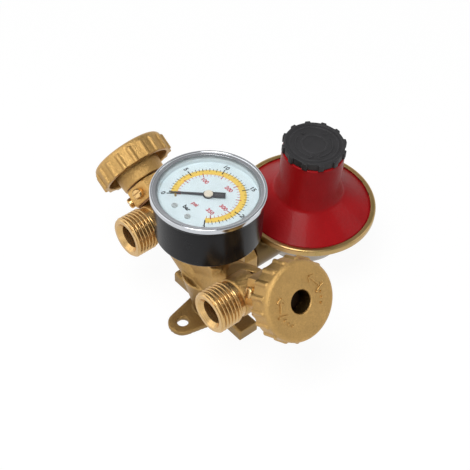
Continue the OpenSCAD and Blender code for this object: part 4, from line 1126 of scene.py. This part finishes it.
class MANIFOLD_OT_regulator(bpy.types.Operator):
    """Regulator with its bowl, rim, red bonnet and ribbed cap"""
    bl_idname = "manifold.regulator"
    bl_label = "Regulator"

    def execute(self, context):
        bowl = cast(baked(copied("regulator_body")), sizes().bowl_grain, passes=5)
        bowl = with_relief(bowl, scale=0.7, passes=6)
        show("regulator_bowl", bowl, "regulator_body", yellow_chromate(BOWL_LIFT))
        rim = with_relief(lathe(RIM_OUTLINE, REGULATOR, segments=192), scale=0.15, passes=1)
        show("rolled_rim", smooth(rim, angle=50), "regulator_body", yellow_chromate(RIM_HIGHLIGHT_LIFT))
        red = lathe(BONNET_OUTLINE, REGULATOR, segments=160, steps=8)
        show("red_bonnet", smooth(red, angle=40), "regulator_bonnet", red_enamel())
        plastic = cap_plastic()
        count = sizes().cap_ribs
        ribs = ring_of(rib_mesh(), count, RIB_CIRCLE, 0.0, 360.0 / count, plastic)
        ribs.transform(REGULATOR)
        cap = joined(lathe(CAP_OUTLINE, REGULATOR, segments=144, steps=4), ribs)
        cap = smooth(with_relief(cap, scale=0.16, passes=1), angle=40)
        show("ribbed_cap", cap, "adjusting_cap", plastic)
        show("cap_marks", cap_marks(), "adjusting_cap", plastic)
        coil_spring("adjusting_spring", plain_steel())
        paint(plain_steel(), "spring_plate", "diaphragm_plate", "lever", "lever_pin")
        paint(machined_brass(), "diaphragm_stem", "valve_slider", "orifice_nozzle")
        paint(seal_rubber(), "diaphragm", "slider_pad")
        return {"FINISHED"}


# Stage

# The photograph's camera: angles in degrees, distance and base in metres, the rest in pixels. Middle is
# where the point (0, 0, -base) shows.
PHOTO = {"azimuth": 49.10, "elevation": 45.12, "roll": 1.08, "distance": 0.59314, "focal": 1225.39,
         "middle": (208.77, 311.01), "size": 470, "base": 0.00169}
SENSOR = 36.0
WHITE, FLOOR_GREY = (1.0, 1.0, 1.0), (0.45, 0.45, 0.45)
# The floor's share of plain white where it is seen directly. The rest takes shadows.
FLOOR_WHITE = 0.82
# Lamps: place, width and power
LAMPS = {"Key": ((0.15, -0.3, 0.88), 0.55, 5.5), "Fill": ((-0.45, -0.55, 0.5), 0.5, 0.5),
         "Rim": ((0.4, 0.6, 0.5), 0.4, 0.7)}
LAMP_AIM = Vector((0.0, 0.02, 0.03))
# Level direction from the bright front left of the room to its dim back right
ROOM_ACROSS = (0.66, 0.75, 0.0)


def photo_camera():
    """The camera that sees the object as the photograph does."""
    a, e, r = (radians(PHOTO[k]) for k in ("azimuth", "elevation", "roll"))
    back = Vector((sin(a) * cos(e), -cos(a) * cos(e), sin(e)))
    right = Vector((cos(a), sin(a), 0))
    up = back.cross(right)
    right, up = right * cos(r) + up * sin(r), up * cos(r) - right * sin(r)
    half = PHOTO["size"] / 2
    shift = right * (PHOTO["middle"][0] - half) + up * (half - PHOTO["middle"][1])
    spot = PHOTO["distance"] * (back - shift / PHOTO["focal"]) - Vector((0, 0, PHOTO["base"]))
    data = bpy.data.cameras.new("Camera")
    data.sensor_width = SENSOR
    data.lens = SENSOR * PHOTO["focal"] / PHOTO["size"]
    data.clip_start, data.clip_end = 0.01, 10.0
    camera = added("Camera", data)
    camera.matrix_world = Matrix.Translation(spot) @ Matrix((right, up, back)).transposed().to_4x4()
    bpy.context.scene.camera = camera


def lamp(name, spot, size, power):
    data = bpy.data.lights.new(name, "AREA")
    data.shape, data.size, data.energy = "DISK", size, power
    added(name, data).matrix_world = placed(spot, Vector(spot) - LAMP_AIM, (0, 1, 0.01))


def seen_directly(tree):
    """1 for rays that show the background: from the camera, off gloss and through glass."""
    rays = add(tree, "ShaderNodeLightPath")
    seen = maths("MAXIMUM", rays["Is Camera Ray"], rays["Is Transmission Ray"])
    return maths("MAXIMUM", seen, rays["Is Glossy Ray"])


def studio(tree):
    """How bright the room is: white to the camera, and to metal a bright front left and a dim ceiling."""
    place = add(tree, "ShaderNodeTexCoord")["Generated"]
    above = ranged(split(place)["Z"], 1.0, 0.3, 0.1, 0.7)
    across = add(tree, "ShaderNodeVectorMath", {0: place, 1: ROOM_ACROSS}, operation="DOT_PRODUCT")
    room = maths("MULTIPLY", above, ranged(across["Value"], 1.75, 0.8, -0.8, 0.8))
    return maths("MAXIMUM", room, add(tree, "ShaderNodeLightPath")["Is Camera Ray"])


def room_world():
    world = bpy.data.worlds.new("World")
    world.use_nodes = True
    tree = world.node_tree
    soft = tree.nodes["Background"]
    wired(soft, {"Color": WHITE, "Strength": 0.18})
    white = add(tree, "ShaderNodeBackground", {"Color": WHITE, "Strength": studio(tree)})
    either(seen_directly(tree), soft.outputs, white, "World Output")
    return world


def floor_finish():
    material, tree, shader = new_finish("Floor", Base_Color=FLOOR_GREY, Roughness=0.9, Specular_IOR_Level=0.0)
    bright = add(tree, "ShaderNodeEmission", {"Color": WHITE, "Strength": 1.15})
    share = maths("MULTIPLY", seen_directly(tree), FLOOR_WHITE)
    either(share, shader.outputs, bright, "Material Output")
    return material


class MANIFOLD_OT_stage(bpy.types.Operator):
    """Floor, soft light and the camera"""
    bl_idname = "manifold.stage"
    bl_label = "Stage"

    def execute(self, context):
        scene = context.scene
        scene.view_settings.view_transform = "Standard"
        scene.world = room_world()
        bpy.ops.mesh.primitive_plane_add(size=6.0, location=(0, 0, -0.0002))
        floor = context.object
        floor.name = "floor"
        floor.data.materials.append(floor_finish())
        for name, values in LAMPS.items():
            lamp(name, *values)
        photo_camera()
        return {"FINISHED"}


class MANIFOLD_PT_panel(bpy.types.Panel):
    """Lists the manifold's settings and builders"""
    bl_idname = "MANIFOLD_PT_panel"
    bl_label = "Gas wall manifold"
    bl_space_type = "VIEW_3D"
    bl_region_type = "UI"
    bl_category = "Manifold"

    def draw(self, context):
        for settings in (context.scene.manifold_sizes, context.scene.manifold_colours):
            box = self.layout.box()
            for name in settings.__annotations__:
                box.prop(settings, name)
        for operator in OPERATORS:
            self.layout.operator(operator.bl_idname)


OPERATORS = (MANIFOLD_OT_body, MANIFOLD_OT_inlets, MANIFOLD_OT_valves, MANIFOLD_OT_handwheels,
             MANIFOLD_OT_gauge, MANIFOLD_OT_dial, MANIFOLD_OT_movement, MANIFOLD_OT_regulator,
             MANIFOLD_OT_stage)
CLASSES = (ManifoldSizes, ManifoldColours, *OPERATORS, MANIFOLD_PT_panel)


def register():
    for cls in CLASSES:
        bpy.utils.register_class(cls)
    bpy.types.Scene.manifold_sizes = bpy.props.PointerProperty(type=ManifoldSizes)
    bpy.types.Scene.manifold_colours = bpy.props.PointerProperty(type=ManifoldColours)


def unregister():
    del bpy.types.Scene.manifold_colours
    del bpy.types.Scene.manifold_sizes
    for cls in reversed(CLASSES):
        bpy.utils.unregister_class(cls)


def main():
    register()
    for operator in OPERATORS:
        group_name, name = operator.bl_idname.split(".")
        getattr(getattr(bpy.ops, group_name), name)()


if __name__ == "__main__":
    main()
